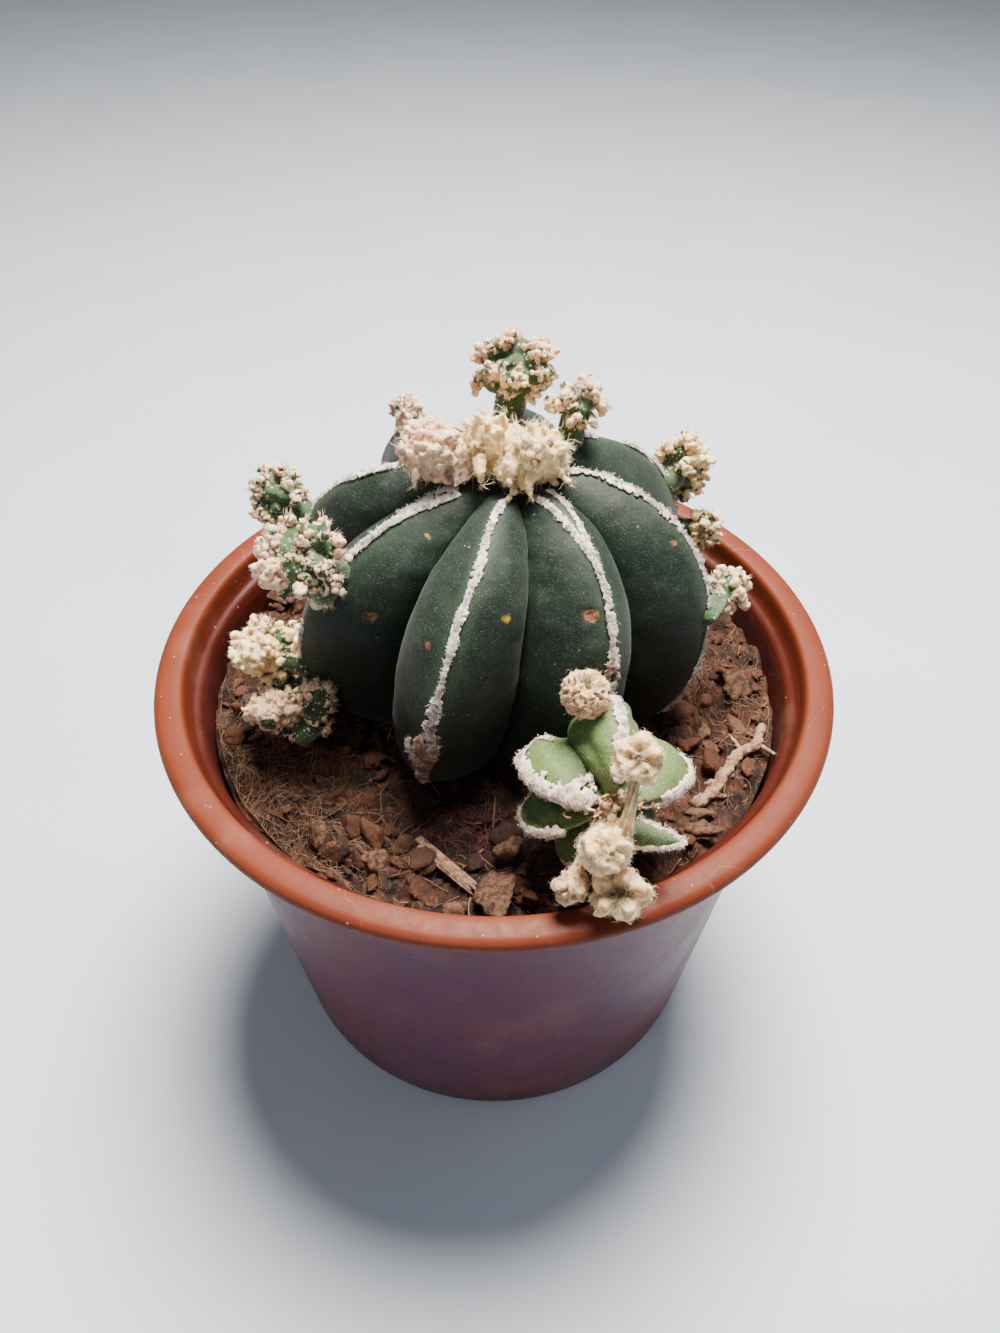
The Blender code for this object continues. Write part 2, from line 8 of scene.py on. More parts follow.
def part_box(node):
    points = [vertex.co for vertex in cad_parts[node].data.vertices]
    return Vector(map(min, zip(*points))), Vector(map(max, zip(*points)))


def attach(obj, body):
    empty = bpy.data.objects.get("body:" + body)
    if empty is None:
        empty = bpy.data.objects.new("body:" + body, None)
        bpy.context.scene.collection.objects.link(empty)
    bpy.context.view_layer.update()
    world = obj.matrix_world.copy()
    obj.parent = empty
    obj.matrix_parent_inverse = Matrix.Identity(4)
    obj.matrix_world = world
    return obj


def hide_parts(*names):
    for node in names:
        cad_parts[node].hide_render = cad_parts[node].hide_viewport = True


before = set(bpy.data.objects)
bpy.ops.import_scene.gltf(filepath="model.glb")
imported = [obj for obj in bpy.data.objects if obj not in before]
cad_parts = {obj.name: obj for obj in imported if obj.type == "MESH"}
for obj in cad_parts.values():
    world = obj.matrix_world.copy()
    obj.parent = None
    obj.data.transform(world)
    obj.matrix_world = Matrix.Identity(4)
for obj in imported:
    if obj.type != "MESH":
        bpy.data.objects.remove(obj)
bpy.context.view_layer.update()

# Shapes are worked out in millimetres in numpy and turned to metres when a piece is added.
scene = bpy.context.scene
up = np.array([0.0, 0.0, 1.0])
grainMixers = (374761393, 668265263, 2147483647, 1274126177)    # odd numbers that scramble a cell's place


def boxOf(node):    # lowest corner, highest corner and middle of a frame node, in mm
    low, high = [np.array(corner) * 1000 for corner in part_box(node)]
    return low, high, (low + high) / 2


def unit(vectors):
    return vectors / np.maximum(np.linalg.norm(vectors, axis=-1, keepdims=True), 1e-9)


def smooth(low, high, value):
    share = np.clip((value - low) / (high - low), 0, 1)
    return share * share * (3 - 2 * share)


def hump(value, width):    # 1 at 0, falling away over the width
    return np.exp(-((value / width) ** 2))


def grain(points, size, seed=0):    # soft random lumps between -1 and 1, size in mm
    spot = np.asarray(points, float) / size + 17.31 * (seed + 1)
    cell = np.floor(spot).astype(np.int64)
    part = spot - cell
    part = part * part * (3 - 2 * part)
    total = np.zeros(len(spot))
    for corner in range(8):
        offset = np.array([corner & 1, corner >> 1 & 1, corner >> 2 & 1])
        at = cell + offset
        mixed = sum(at[:, axis] * grainMixers[axis] for axis in range(3)) + seed * grainMixers[3]
        mixed = (mixed ^ (mixed >> 13)) * 1103515245 & 0x7fffffff
        mixed = (mixed ^ (mixed >> 16)) * 69069 & 0x7fffffff
        total += np.prod(np.where(offset, part, 1 - part), axis=1) * (mixed / 0x3fffffff - 1)
    return total


def layered(points, size, seed=0, layers=3, fade=0.5):
    total, weight = 0, 1
    for layer in range(layers):
        total = total + weight * grain(points, size / 2 ** layer, seed + layer)
        weight *= fade
    return total


def warpOf(points, size, seed, apart=30):    # soft random shifts of points
    return np.stack([grain(points + apart * axis, size, seed + axis) for axis in range(3)], -1)


def gridFaces(rows, columns):    # triangles of a grid that is closed round its columns
    row, column = np.arange(rows - 1)[:, None], np.arange(columns)[None, :]
    a = row * columns + column
    b = row * columns + (column + 1) % columns
    c, d = b + columns, a + columns
    return np.concatenate([np.stack(corners, -1).reshape(-1, 3) for corners in ([a, b, c], [a, c, d])])


def capped(rings, start, end):    # a closed skin from rings of points and a point at each end
    rows, columns = rings.shape[:2]
    column = np.arange(columns)
    after = (column + 1) % columns
    last = rows * columns
    low = np.stack([np.full(columns, last), after, column], -1)
    high = np.stack([np.full(columns, last + 1), last - columns + column, last - columns + after], -1)
    return np.vstack([rings.reshape(-1, 3), start, end]), np.vstack([gridFaces(rows, columns), low, high])


def joined(parts):    # several (points, faces) as one
    shifts = np.cumsum([0] + [len(points) for points, _ in parts])
    faces = [faces + shift for (_, faces), shift in zip(parts, shifts)]
    return np.vstack([points for points, _ in parts]), np.vstack(faces)


def copies(placed, faces):    # many copies of one shape, placed as copies x points x 3
    shift = (np.arange(len(placed)) * placed.shape[1])[:, None, None]
    return placed.reshape(-1, 3), (np.asarray(faces)[None] + shift).reshape(-1, 3)


def meshOf(name, points, faces, scale=0.001):
    mesh = bpy.data.meshes.new(name)
    mesh.vertices.add(len(points))
    mesh.vertices.foreach_set("co", (points * scale).astype(np.float32).ravel())
    mesh.loops.add(3 * len(faces))
    mesh.loops.foreach_set("vertex_index", faces.astype(np.int32).ravel())
    mesh.polygons.add(len(faces))
    mesh.polygons.foreach_set("loop_start", np.arange(0, 3 * len(faces), 3, dtype=np.int32))
    mesh.update(calc_edges=True)
    mesh.validate()
    mesh.shade_smooth()
    return mesh


def putIn(name, mesh, marks=None):    # an object in the scene, with numbers on its points that materials read
    for mark, values in (marks or {}).items():
        mesh.attributes.new(mark, "FLOAT", "POINT").data.foreach_set("value", values.astype(np.float32))
    made = bpy.data.objects.new(name, mesh)
    scene.collection.objects.link(made)
    return made


def addPiece(name, skin, material, slot, *nodes):    # skin is points, faces and perhaps marks
    piece = putIn(name, meshOf(name, *skin[:2]), *skin[2:])
    piece.data.materials.append(material)
    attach(piece, "root")
    if nodes:
        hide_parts(*nodes)
    print(name, len(skin[1]), "triangles")


def numbersOf(group, field, width, kind=np.float32):    # one field of a mesh's points or triangles
    found = np.zeros(width * len(group), kind)
    group.foreach_get(field, found)
    return found.reshape(-1, width)


def reworked(points, faces, changes, marks=None):    # a skin in mm after modifiers, its marks carried over
    rough = putIn("rough", meshOf("rough", points, faces, 1.0), marks)
    for kind, settings in changes:
        modifier = rough.modifiers.new(kind, kind)
        for key, value in settings.items():
            setattr(modifier, key, value)
    mesh = bpy.data.meshes.new_from_object(rough.evaluated_get(bpy.context.evaluated_depsgraph_get()))
    mesh.calc_loop_triangles()
    bpy.data.objects.remove(rough)
    kept = {mark: numbersOf(mesh.attributes[mark].data, "value", 1).ravel() for mark in marks or ()}
    triangles = numbersOf(mesh.loop_triangles, "vertices", 3, np.int32)
    return numbersOf(mesh.vertices, "co", 3).astype(float), triangles, kept


def fused(points, faces, voxel, soften=0):    # one closed skin round overlapping lumps
    changes = [("REMESH", {"mode": "VOXEL", "voxel_size": voxel}), ("SMOOTH", {"iterations": soften})]
    return reworked(points, faces, changes if soften else changes[:1])[:2]


def thinned(points, faces, marks, share):    # a skin with fewer triangles
    return reworked(points, faces, [("DECIMATE", {"ratio": share})], marks)


def withHairs(skin, hairs, **fills):    # a skin and hairs as one, each mark filled on the hairs
    points, faces, marks = skin
    extra = len(hairs[0])
    filled = {mark: np.concatenate([marks[mark], np.broadcast_to(fills.get(mark, 0.0), extra)]) for mark in marks}
    return *joined([(points, faces), hairs]), filled


def normalsOf(points, faces):
    corner = points[faces]
    face = np.cross(corner[:, 1] - corner[:, 0], corner[:, 2] - corner[:, 0])
    total = np.zeros_like(points)
    for side in range(3):
        np.add.at(total, faces[:, side], face)
    return unit(total)


def ballPoints(detail):    # a unit ball of triangles
    mesh = bpy.data.meshes.new("ball")
    work = bmesh.new()
    bmesh.ops.create_icosphere(work, subdivisions=detail, radius=1)
    work.to_mesh(mesh)
    work.free()
    points = np.array([vertex.co for vertex in mesh.vertices])
    faces = np.array([face.vertices for face in mesh.polygons])
    bpy.data.meshes.remove(mesh)
    return points, faces


balls = {detail: ballPoints(detail) for detail in (1, 2, 3)}


def sideways(directions):    # two directions square to each one
    helper = np.where(np.abs(directions[..., 2:3]) > 0.8, [[1.0, 0, 0]], [[0, 0, 1.0]])
    first = unit(np.cross(directions, helper))
    return first, np.cross(directions, first)


def around(first, second, turn):    # directions turned round between two square ones
    return first * np.cos(turn) + second * np.sin(turn)


def lumps(middles, sizes, detail=2, directions=up, rng=None):
    # flattened balls at the middles, sizes across, across and along their directions, turned about if rng is given
    points, faces = balls[detail]
    middles = np.asarray(middles, float)
    sizes = np.broadcast_to(np.asarray(sizes, float), middles.shape)
    third = unit(np.broadcast_to(directions, middles.shape))
    first, second = sideways(third)
    if rng is not None:
        turn = rng.uniform(0, math.tau, len(middles))[:, None]
        first, second = around(first, second, turn), second * np.cos(turn) - first * np.sin(turn)
    placed = middles[:, None]
    for axis, way in enumerate((first, second, third)):
        placed = placed + points[None, :, axis, None] * (way * sizes[:, axis, None])[:, None]
    return copies(placed, faces)


def tongues(roots, tips, thick, rng, end=0.25, bend=0.3, number=5, detail=2):
    # pointed tufts as chains of shrinking balls
    way = tips - roots
    first, second = sideways(unit(way))
    curve = np.linalg.norm(way, axis=1, keepdims=True) * bend
    side = sum(square * rng.normal(0, 1, (len(roots), 1)) * curve for square in (first, second))
    middles, sizes = [], []
    for share in np.linspace(0, 1, number):
        middles.append(roots + way * share + side * share * (1 - share) * 1.5)
        sizes.append((thick * (1 - (1 - end) * share) * np.ones(len(roots)))[:, None])
    return lumps(np.vstack(middles), np.vstack(sizes), detail)


def strands(paths, width, sides=3, taper=0.6, rough=1.0):
    # closed tapering tubes along paths, given as number x steps x 3
    count, steps = paths.shape[:2]
    way = unit(np.gradient(paths, axis=1))[:, :-1]
    first = sideways(way[:, :1])[0]
    side = unit(first - way * np.sum(first * way, -1, keepdims=True))
    thin = np.array([(1 - step / (steps - 1)) ** taper for step in range(steps - 1)])
    thick = np.broadcast_to(width, count)[:, None] * thin
    turn = (math.tau * np.arange(sides) / sides)[:, None]
    ring = around(side[:, :, None], np.cross(way, side)[:, :, None], turn) * rough
    rings = paths[:, :-1, None] + thick[..., None, None] * ring
    points = np.concatenate([rings.reshape(count, -1, 3), paths[:, -1:]], 1)
    top = (steps - 2) * sides
    tip = [(top + side, top + (side + 1) % sides, top + sides) for side in range(sides)]
    root = [(0, side + 1, side) for side in range(1, sides - 1)]
    return copies(points, np.vstack([gridFaces(steps - 1, sides), tip, root]))


def fibres(starts, directions, lengths, width, rng, curl=0.4, steps=1):    # short free hairs
    directions = unit(directions)
    first, second = sideways(directions)
    bend, sway = [
        sum(rng.normal(0, spread, (len(starts), 1)) * square for square in (first, second))[:, None]
        for spread in (curl, curl * 0.3)
    ]
    share = np.linspace(0, 1, steps + 1)[None, :, None]
    curve = directions[:, None] * share + bend * share ** 2 + sway * np.sin(share * 6)
    return strands(starts[:, None] + np.asarray(lengths)[:, None, None] * curve, width)


def hairsTo(roots, tips, widths, rng, curl):
    way = tips - roots
    return fibres(roots, way, np.linalg.norm(way, axis=1), widths, rng, curl)


def crowd(places, many, spread, rng):    # each place many times over, a little apart
    return np.repeat(places, many, 0) + rng.normal(0, spread, (many * len(places), 3))


def curls(points, faces, count, length, width, rng, bend=0.2, curve=3.8):
    # long single hairs that lie in arcs on wool
    pick = rng.integers(0, len(points), count)
    start, out = points[pick][:, None], normalsOf(points, faces)[pick]
    way = around(*sideways(out), rng.uniform(0, math.tau, (count, 1)))
    side = np.cross(out, way)
    share = np.linspace(0, 1, 6)[None, :, None]
    run = rng.uniform(*length, (count, 1, 1)) * share
    rise = 0.45 * np.sin(share * math.pi) - run ** 2 / (2 * curve)
    swing = rng.uniform(-bend, bend, (count, 1, 1)) * run ** 2
    paths = start + out[:, None] * rise + way[:, None] * run + side[:, None] * swing
    return strands(paths, width * rng.uniform(0.6, 1.3, count), 3, 0.3)


# Materials are built from nodes by these short helpers.
class Shade:
    def __init__(self, name):
        self.material = bpy.data.materials.new(name)
        self.material.use_nodes = True
        self.tree = self.material.node_tree
        self.shader = self.tree.nodes["Principled BSDF"]
        self.place = self.tree.nodes.new("ShaderNodeTexCoord").outputs["Object"]

    def node(self, kind, feeds, settings=None):
        made = self.tree.nodes.new("ShaderNode" + kind)
        for key, value in (settings or {}).items():
            setattr(made, key, value)
        for key, value in feeds.items():
            self.feed(made.inputs[key], value)
        return made

    def feed(self, socket, value):
        if isinstance(value, bpy.types.NodeSocket):
            self.tree.links.new(value, socket)
        elif socket.type == "RGBA":
            socket.default_value = (*value, 1) if isinstance(value, tuple) else (value, value, value, 1)
        else:
            socket.default_value = value

    def noise(self, size, detail=4.0, rough=0.55, stretch=None, twist=0.0):    # size in mm
        place = self.place
        if stretch:
            place = self.node("Mapping", {"Vector": place, "Scale": stretch}).outputs[0]
        feeds = {"Vector": place, "Scale": 1000 / size, "Detail": detail, "Roughness": rough, "Distortion": twist}
        return self.node("TexNoise", feeds).outputs["Fac"]

    def ramp(self, value, low, high, start=0.0, end=1.0):
        feeds = {"Value": value, "From Min": low, "From Max": high, "To Min": start, "To Max": end}
        return self.node("MapRange", feeds, {"interpolation_type": "SMOOTHSTEP"}).outputs[0]

    def patches(self, low, high, *noise):    # where a noise is high
        return self.ramp(self.noise(*noise), low, high)

    def dots(self, size, core, edge):    # round scattered dots, core and edge as shares of the size
        found = self.node("TexVoronoi", {"Vector": self.place, "Scale": 1000 / size})
        return self.ramp(found.outputs["Distance"], core, edge, 1.0, 0.0)

    def mark(self, name):
        return self.node("Attribute", {}, {"attribute_name": name}).outputs["Fac"]

    def math(self, operation, a, b=0.0):
        return self.node("Math", {0: a, 1: b}, {"operation": operation}).outputs[0]

    def times(self, first, *others):
        for other in others:
            first = self.math("MULTIPLY", first, other)
        return first

    def mix(self, share, a, b):
        return self.node("Mix", {0: share, 6: a, 7: b}, {"data_type": "RGBA"}).outputs[2]

    def coat(self, tone, *shares):    # lays a tone over the colour so far
        self.colour = self.mix(self.times(*shares), self.colour, tone)

    def height(self, value, depth, before=None):    # bump, depth in mm
        feeds = {"Height": value, "Distance": depth * 0.001, "Strength": 1.0}
        return self.node("Bump", feeds if before is None else {**feeds, "Normal": before}).outputs[0]

    def done(self, roughness, normal=None, **fixed):
        feeds = {"Base Color": self.colour, "Roughness": roughness}
        for key, value in (feeds if normal is None else {**feeds, "Normal": normal}).items():
            self.feed(self.shader.inputs[key], value)
        for key, value in fixed.items():
            self.shader.inputs[key.replace("_", " ")].default_value = value
        return self.material


# Camera, floor and light
view = {"place": (0.00096, -0.1302, 0.2145), "down": 44.93, "roll": 0.518, "lens": 26.98}
lightSetup = {
    "sky": (0.68, 0.76, 0.90), "skyStrength": 0.20, "aim": (0, 0, 0.09),
    # place, size, watts, colour
    "topLamp": ((0.05, 0.15, 0.64), 0.30, 21.0, (1.0, 0.93, 0.84)),
    "sideLamp": ((0.5, 0.12, 0.42), 0.5, 0.6, (0.80, 0.88, 1.0)),
    "frontLamp": ((-0.25, -0.5, 0.55), 0.6, 1.1, (1.0, 0.97, 0.94)),
}
paleFloor = {"reach": 2000.0, "below": 0.02, "tones": ((0.49, 0.545, 0.62), (0.515, 0.57, 0.645))}


def setCamera():
    camera = bpy.data.objects.new("camera", bpy.data.cameras.new("camera"))
    camera.data.lens = view["lens"]
    camera.data.clip_start = 0.001
    tilt = Matrix.Rotation(math.radians(90 - view["down"]), 4, "X")
    roll = Matrix.Rotation(math.radians(view["roll"]), 4, "Z")
    camera.matrix_world = Matrix.Translation(view["place"]) @ (tilt @ roll)
    scene.collection.objects.link(camera)
    scene.camera = camera


def setLight():
    world = bpy.data.worlds.new("studio")
    world.use_nodes = True
    sky = world.node_tree.nodes["Background"]
    sky.inputs["Color"].default_value = (*lightSetup["sky"], 1)
    sky.inputs["Strength"].default_value = lightSetup["skyStrength"]
    scene.world = world
    for name in ("topLamp", "sideLamp", "frontLamp"):
        lamp = bpy.data.lights.new(name, "AREA")
        lamp.shape = "DISK"
        place, lamp.size, lamp.energy, lamp.color = lightSetup[name]
        holder = bpy.data.objects.new(name, lamp)
        holder.location = place
        aim = Vector(lightSetup["aim"]) - Vector(place)
        holder.rotation_euler = aim.to_track_quat("-Z", "Y").to_euler()
        scene.collection.objects.link(holder)


def setFloor():
    shade = Shade("paleFloor")
    shade.colour = shade.mix(shade.patches(0.3, 0.7, 60, 2), *paleFloor["tones"])
    shade.done(0.75)
    corners = np.array([(-1, -1, 0), (1, -1, 0), (1, 1, 0), (-1, 1, 0)]) * paleFloor["reach"]
    floor = putIn("floor", meshOf("floor", corners - up * paleFloor["below"], np.array([(0, 1, 2), (0, 2, 3)])))
    floor.data.materials.append(shade.material)


# Pot
pot = {
    "lipHeight": 3.1, "lipInner": 54.9, "ledgeDrop": 4.6, "wall": 1.3, "wallTop": 53.6, "wallFoot": 45.9,
    "footRing": 6.0, "footRecess": 1.9, "floor": 1.7, "holes": 8, "holeDiameter": 3.8, "holeCircle": 28.0,
    "holeSides": 24, "segments": 168, "outOfRound": 0.0016, "cornerCut": 0.22,
    # side: a darker mauve than the lip's plastic, painted reflection of blue surroundings and painted shade on the
    # outer wall
    "lip": ((0.106, 0.0198, 0.0072), (0.130, 0.0265, 0.0104)), "side": ((0.079, 0.025, 0.053), (0.094, 0.029, 0.041)),
    # inside: the same plastic darkened, painted shade inside the pot
    "foot": (0.13, 0.035, 0.03), "inside": ((0.048, 0.0080, 0.0042), (0.038, 0.0064, 0.0036)),
    "water": (0.46, 0.21, 0.13), "film": (0.72, 0.45, 0.36), "specks": (0.07, 0.03, 0.025), "dust": (0.75, 0.6, 0.5),
}
potLip, _, potTop = boxOf("pot")[1]
potFloor, potLedge = pot["footRecess"] + pot["floor"], potTop - pot["ledgeDrop"]


def innerWall(height):    # radius inside the wall
    slope = (height - potFloor) / (potLedge - potFloor)
    return pot["wallFoot"] - pot["wall"] + slope * (pot["wallTop"] - pot["wallFoot"])


def potMaterial():
    shade = Shade("terracottaPlastic")
    height = shade.node("SeparateXYZ", {"Vector": shade.place}).outputs[2]
    onLip = shade.mark("lip")
    clouds, fine = shade.noise(26, 5, 0.6), shade.noise(1.4, 4, 0.6)
    streaks = shade.noise(7, 4, 0.6, (1, 1, 0.12))
    # the outer wall's mauve side tones are painted reflection and painted shade
    shade.colour = shade.mix(shade.ramp(clouds, 0.35, 0.7), *pot["side"])
    shade.coat(pot["foot"], shade.ramp(height, 0.0, 0.03, 0.45, 0.0))
    outer = shade.mark("outer")
    # painted shade: the inside of the pot is darkened
    inside = shade.mix(shade.ramp(streaks, 0.3, 0.75), *pot["inside"])
    shade.colour = shade.mix(outer, inside, shade.colour)
    shade.coat(shade.mix(shade.ramp(clouds, 0.3, 0.7), *pot["lip"]), onLip)
    # pale rings that dried water left on the lip, thin and broken
    rings = shade.math("ABSOLUTE", shade.math("SUBTRACT", shade.noise(34, 3, 0.45, None, 1.6), 0.47))
    shade.coat(pot["water"], shade.ramp(rings, 0.0, 0.004, 1.0, 0.0), shade.patches(0.48, 0.58, 6, 2), onLip, 0.2)
    shade.coat(pot["film"], shade.patches(0.50, 0.75, 15, 3, 0.5), 0.04)
    shade.coat(pot["specks"], shade.dots(3.4, 0.05, 0.11), shade.ramp(clouds, 0.52, 0.6), 0.5)
    shade.coat(pot["dust"], shade.dots(1.9, 0.06, 0.12), shade.ramp(fine, 0.5, 0.64), 0.35)
    gloss = shade.ramp(shade.math("ADD", clouds, shade.times(fine, 0.5)), 0.5, 1.1, 0.30, 0.50)
    gloss = shade.mix(onLip, gloss, shade.ramp(fine, 0.3, 0.7, 0.46, 0.58))
    normal = shade.height(fine, 0.035, shade.height(shade.noise(6, 2), 0.05))
    return shade.done(gloss, normal, Specular_IOR_Level=0.17)


def potProfile():    # half outline, from the middle of the floor round the lip to the middle underneath
    foot, ring, recess, wall = [pot[key] for key in ("wallFoot", "footRing", "footRecess", "wallTop")]
    inner, under = pot["lipInner"], potTop - pot["lipHeight"]
    outline = np.array([
        (0.01, potFloor), (innerWall(potFloor) - 2.0, potFloor), (innerWall(potFloor + 1.6), potFloor + 1.6),
        (innerWall(40), 40.0), (innerWall(potLedge) - 0.1, potLedge - 0.9), (innerWall(potLedge) + 0.5, potLedge - 0.1),
        (inner - 0.9, potLedge + 0.35), (inner - 0.4, potLedge + 1.3), (inner - 0.05, potTop - 0.9),
        (inner + 0.35, potTop - 0.2), (inner + 1.4, potTop), (potLip - 2.4, potTop), (potLip - 1.1, potTop - 0.2),
        (potLip - 0.3, potTop - 0.8), (potLip, potTop - 1.7), (potLip - 0.25, under + 0.5), (potLip - 1.1, under),
        (wall + 2.4, under - 0.5), (wall + 0.7, under - 1.4), (wall, under - 3.2), (foot + 0.15, 1.5),
        (foot - 0.25, 0.5), (foot - 0.9, 0.0), (foot - ring, 0.0), (foot - ring - 0.4, recess), (0.01, recess),
    ])
    for _ in range(2):    # corners are cut twice
        a, b = outline[:-1], outline[1:]
        cut = pot["cornerCut"] * (b - a)
        outline = np.vstack([outline[:1], np.stack([a + cut, b - cut], 1).reshape(-1, 2), outline[-1:]])
    return outline


def makePot():
    outline = potProfile()
    angle = math.tau * np.arange(pot["segments"]) / pot["segments"]
    radius, level = outline[:, :1], outline[:, 1:]
    # a moulded pot is never quite round
    warp = 1 + pot["outOfRound"] * np.sin(2 * angle + 0.7)[None, :] * (level / 90)
    x, y = radius * warp * np.cos(angle), radius * warp * np.sin(angle)
    rings = np.stack([x, y, np.broadcast_to(level, x.shape)], -1)
    points, faces = drilled(*capped(rings, (0, 0, outline[0, 1]), (0, 0, outline[-1, 1])))
    across, height = np.hypot(points[:, 0], points[:, 1]), points[:, 2]
    inner = pot["lipInner"]
    lip = smooth(inner - 0.9, inner + 0.3, across) * smooth(potTop - 5.2, potTop - 3.8, height)
    outer = smooth(-0.6, -0.2, across - innerWall(height) - pot["wall"] * 0.5)
    outer = np.where(height > potTop - 5.5, smooth(inner + 0.6, inner + 1.6, across), outer)
    addPiece("potBody", (points, faces, {"lip": lip, "outer": outer}), potMaterial(), "pot_plastic", "pot")


def drilled(points, faces):    # drain holes through the floor
    ring = math.tau * np.arange(pot["holeSides"]) / pot["holeSides"]
    drills = []
    for hole in range(pot["holes"]):
        turn = math.tau * (hole + 0.5) / pot["holes"]
        middle = pot["holeCircle"] * np.array([math.cos(turn), math.sin(turn)])
        flat = middle + pot["holeDiameter"] / 2 * np.stack([np.cos(ring), np.sin(ring)], -1)
        low, high = -3.0, 8.0
        rings = np.stack([np.column_stack([flat, np.full(len(ring), height)]) for height in (low, high)])
        drills.append(capped(rings, (*middle, low), (*middle, high)))
    drill = putIn("drill", meshOf("drill", *joined(drills), 1.0))
    points, faces, _ = reworked(points, faces, [("BOOLEAN", {"object": drill, "solver": "EXACT"})])
    bpy.data.objects.remove(drill)
    return points, faces


# Main stem
stem = {
    "axis": (1.8, 4.6), "base": 80.6, "top": 126.0, "equator": 97.6, "radius": 37.6, "baseRadius": 27.0, "dip": 5.0,
    "groove": 0.64, "baseGroove": 0.74, "drop": 3.0, "turnOver": 0.62,
    # azimuth of each rib, how far it leans round from crown to base, and how far it stands out
    "ribs": ((-106, -20, 1.00), (-61, -24, 0.92), (-17, -26, 0.95), (30, -24, 0.96),
             (81, -22, 1.00), (127, -20, 1.00), (167, -24, 0.98), (209, -22, 1.00)),
    "flankSteps": 32, "rows": 104, "folds": 0.16, "scarDepth": 0.26, "scarLip": 0.06,
    # corky scars: rib, share of the way to the next rib, place down the rib, half sizes along and across in mm
    "scars": (
        (0, 0.88, 0.37, 1.1, 1.3), (7, 0.32, 0.44, 1.5, 0.9), (7, 0.84, 0.41, 0.5, 0.8), (7, 0.73, 0.43, 0.4, 0.5),
        (7, 0.17, 0.40, 0.45, 0.4), (1, 0.03, 0.35, 0.6, 0.5), (1, 0.88, 0.35, 0.9, 0.6), (0, 0.10, 0.46, 0.4, 0.4),
        (2, 0.40, 0.30, 1.0, 0.8), (3, 0.55, 0.45, 1.1, 0.7), (4, 0.5, 0.5, 0.8, 0.6), (5, 0.45, 0.62, 1.4, 0.9),
    ),
    # yellow flecks: rib, share, place, size
    "flecks": ((0, 0.28, 0.35, 0.95), (7, 0.32, 0.21, 0.6), (0, 0.55, 0.55, 0.4), (2, 0.5, 0.5, 0.5)),
    # rings that draw the skin in underneath and down into the soil: radius, depth below the base
    "tail": ((11.4, 3.2), (8.0, 7.0), (5.0, 13.0), (3.0, 20.0)), "tailRadius": 12.0,
}
skinTones = {
    # crease is painted shade for the grooves between the ribs
    "crease": (0.012, 0.028, 0.016), "haze": (0.20, 0.26, 0.24), "larger": (0.34, 0.26, 0.17),
    "fleck": (0.50, 0.31, 0.012), "cork": ((0.052, 0.019, 0.009), (0.21, 0.090, 0.036)),
    # low is painted shade over the lower part of the stem
    "low": (0.0045, 0.0095, 0.0065), "foot": (0.06, 0.045, 0.02),
    # deep, fresh, pale dots, how strong the dots are, rib edges
    "velvetSkin": (
        (0.0022, 0.0080, 0.0043), (0.0054, 0.0162, 0.0083), (0.150, 0.225, 0.160), 0.42, (0.036, 0.062, 0.032),
    ),
    "freshSkin": ((0.056, 0.100, 0.025), (0.094, 0.150, 0.039), (0.58, 0.64, 0.44), 0.55, (0.15, 0.19, 0.06)),
}


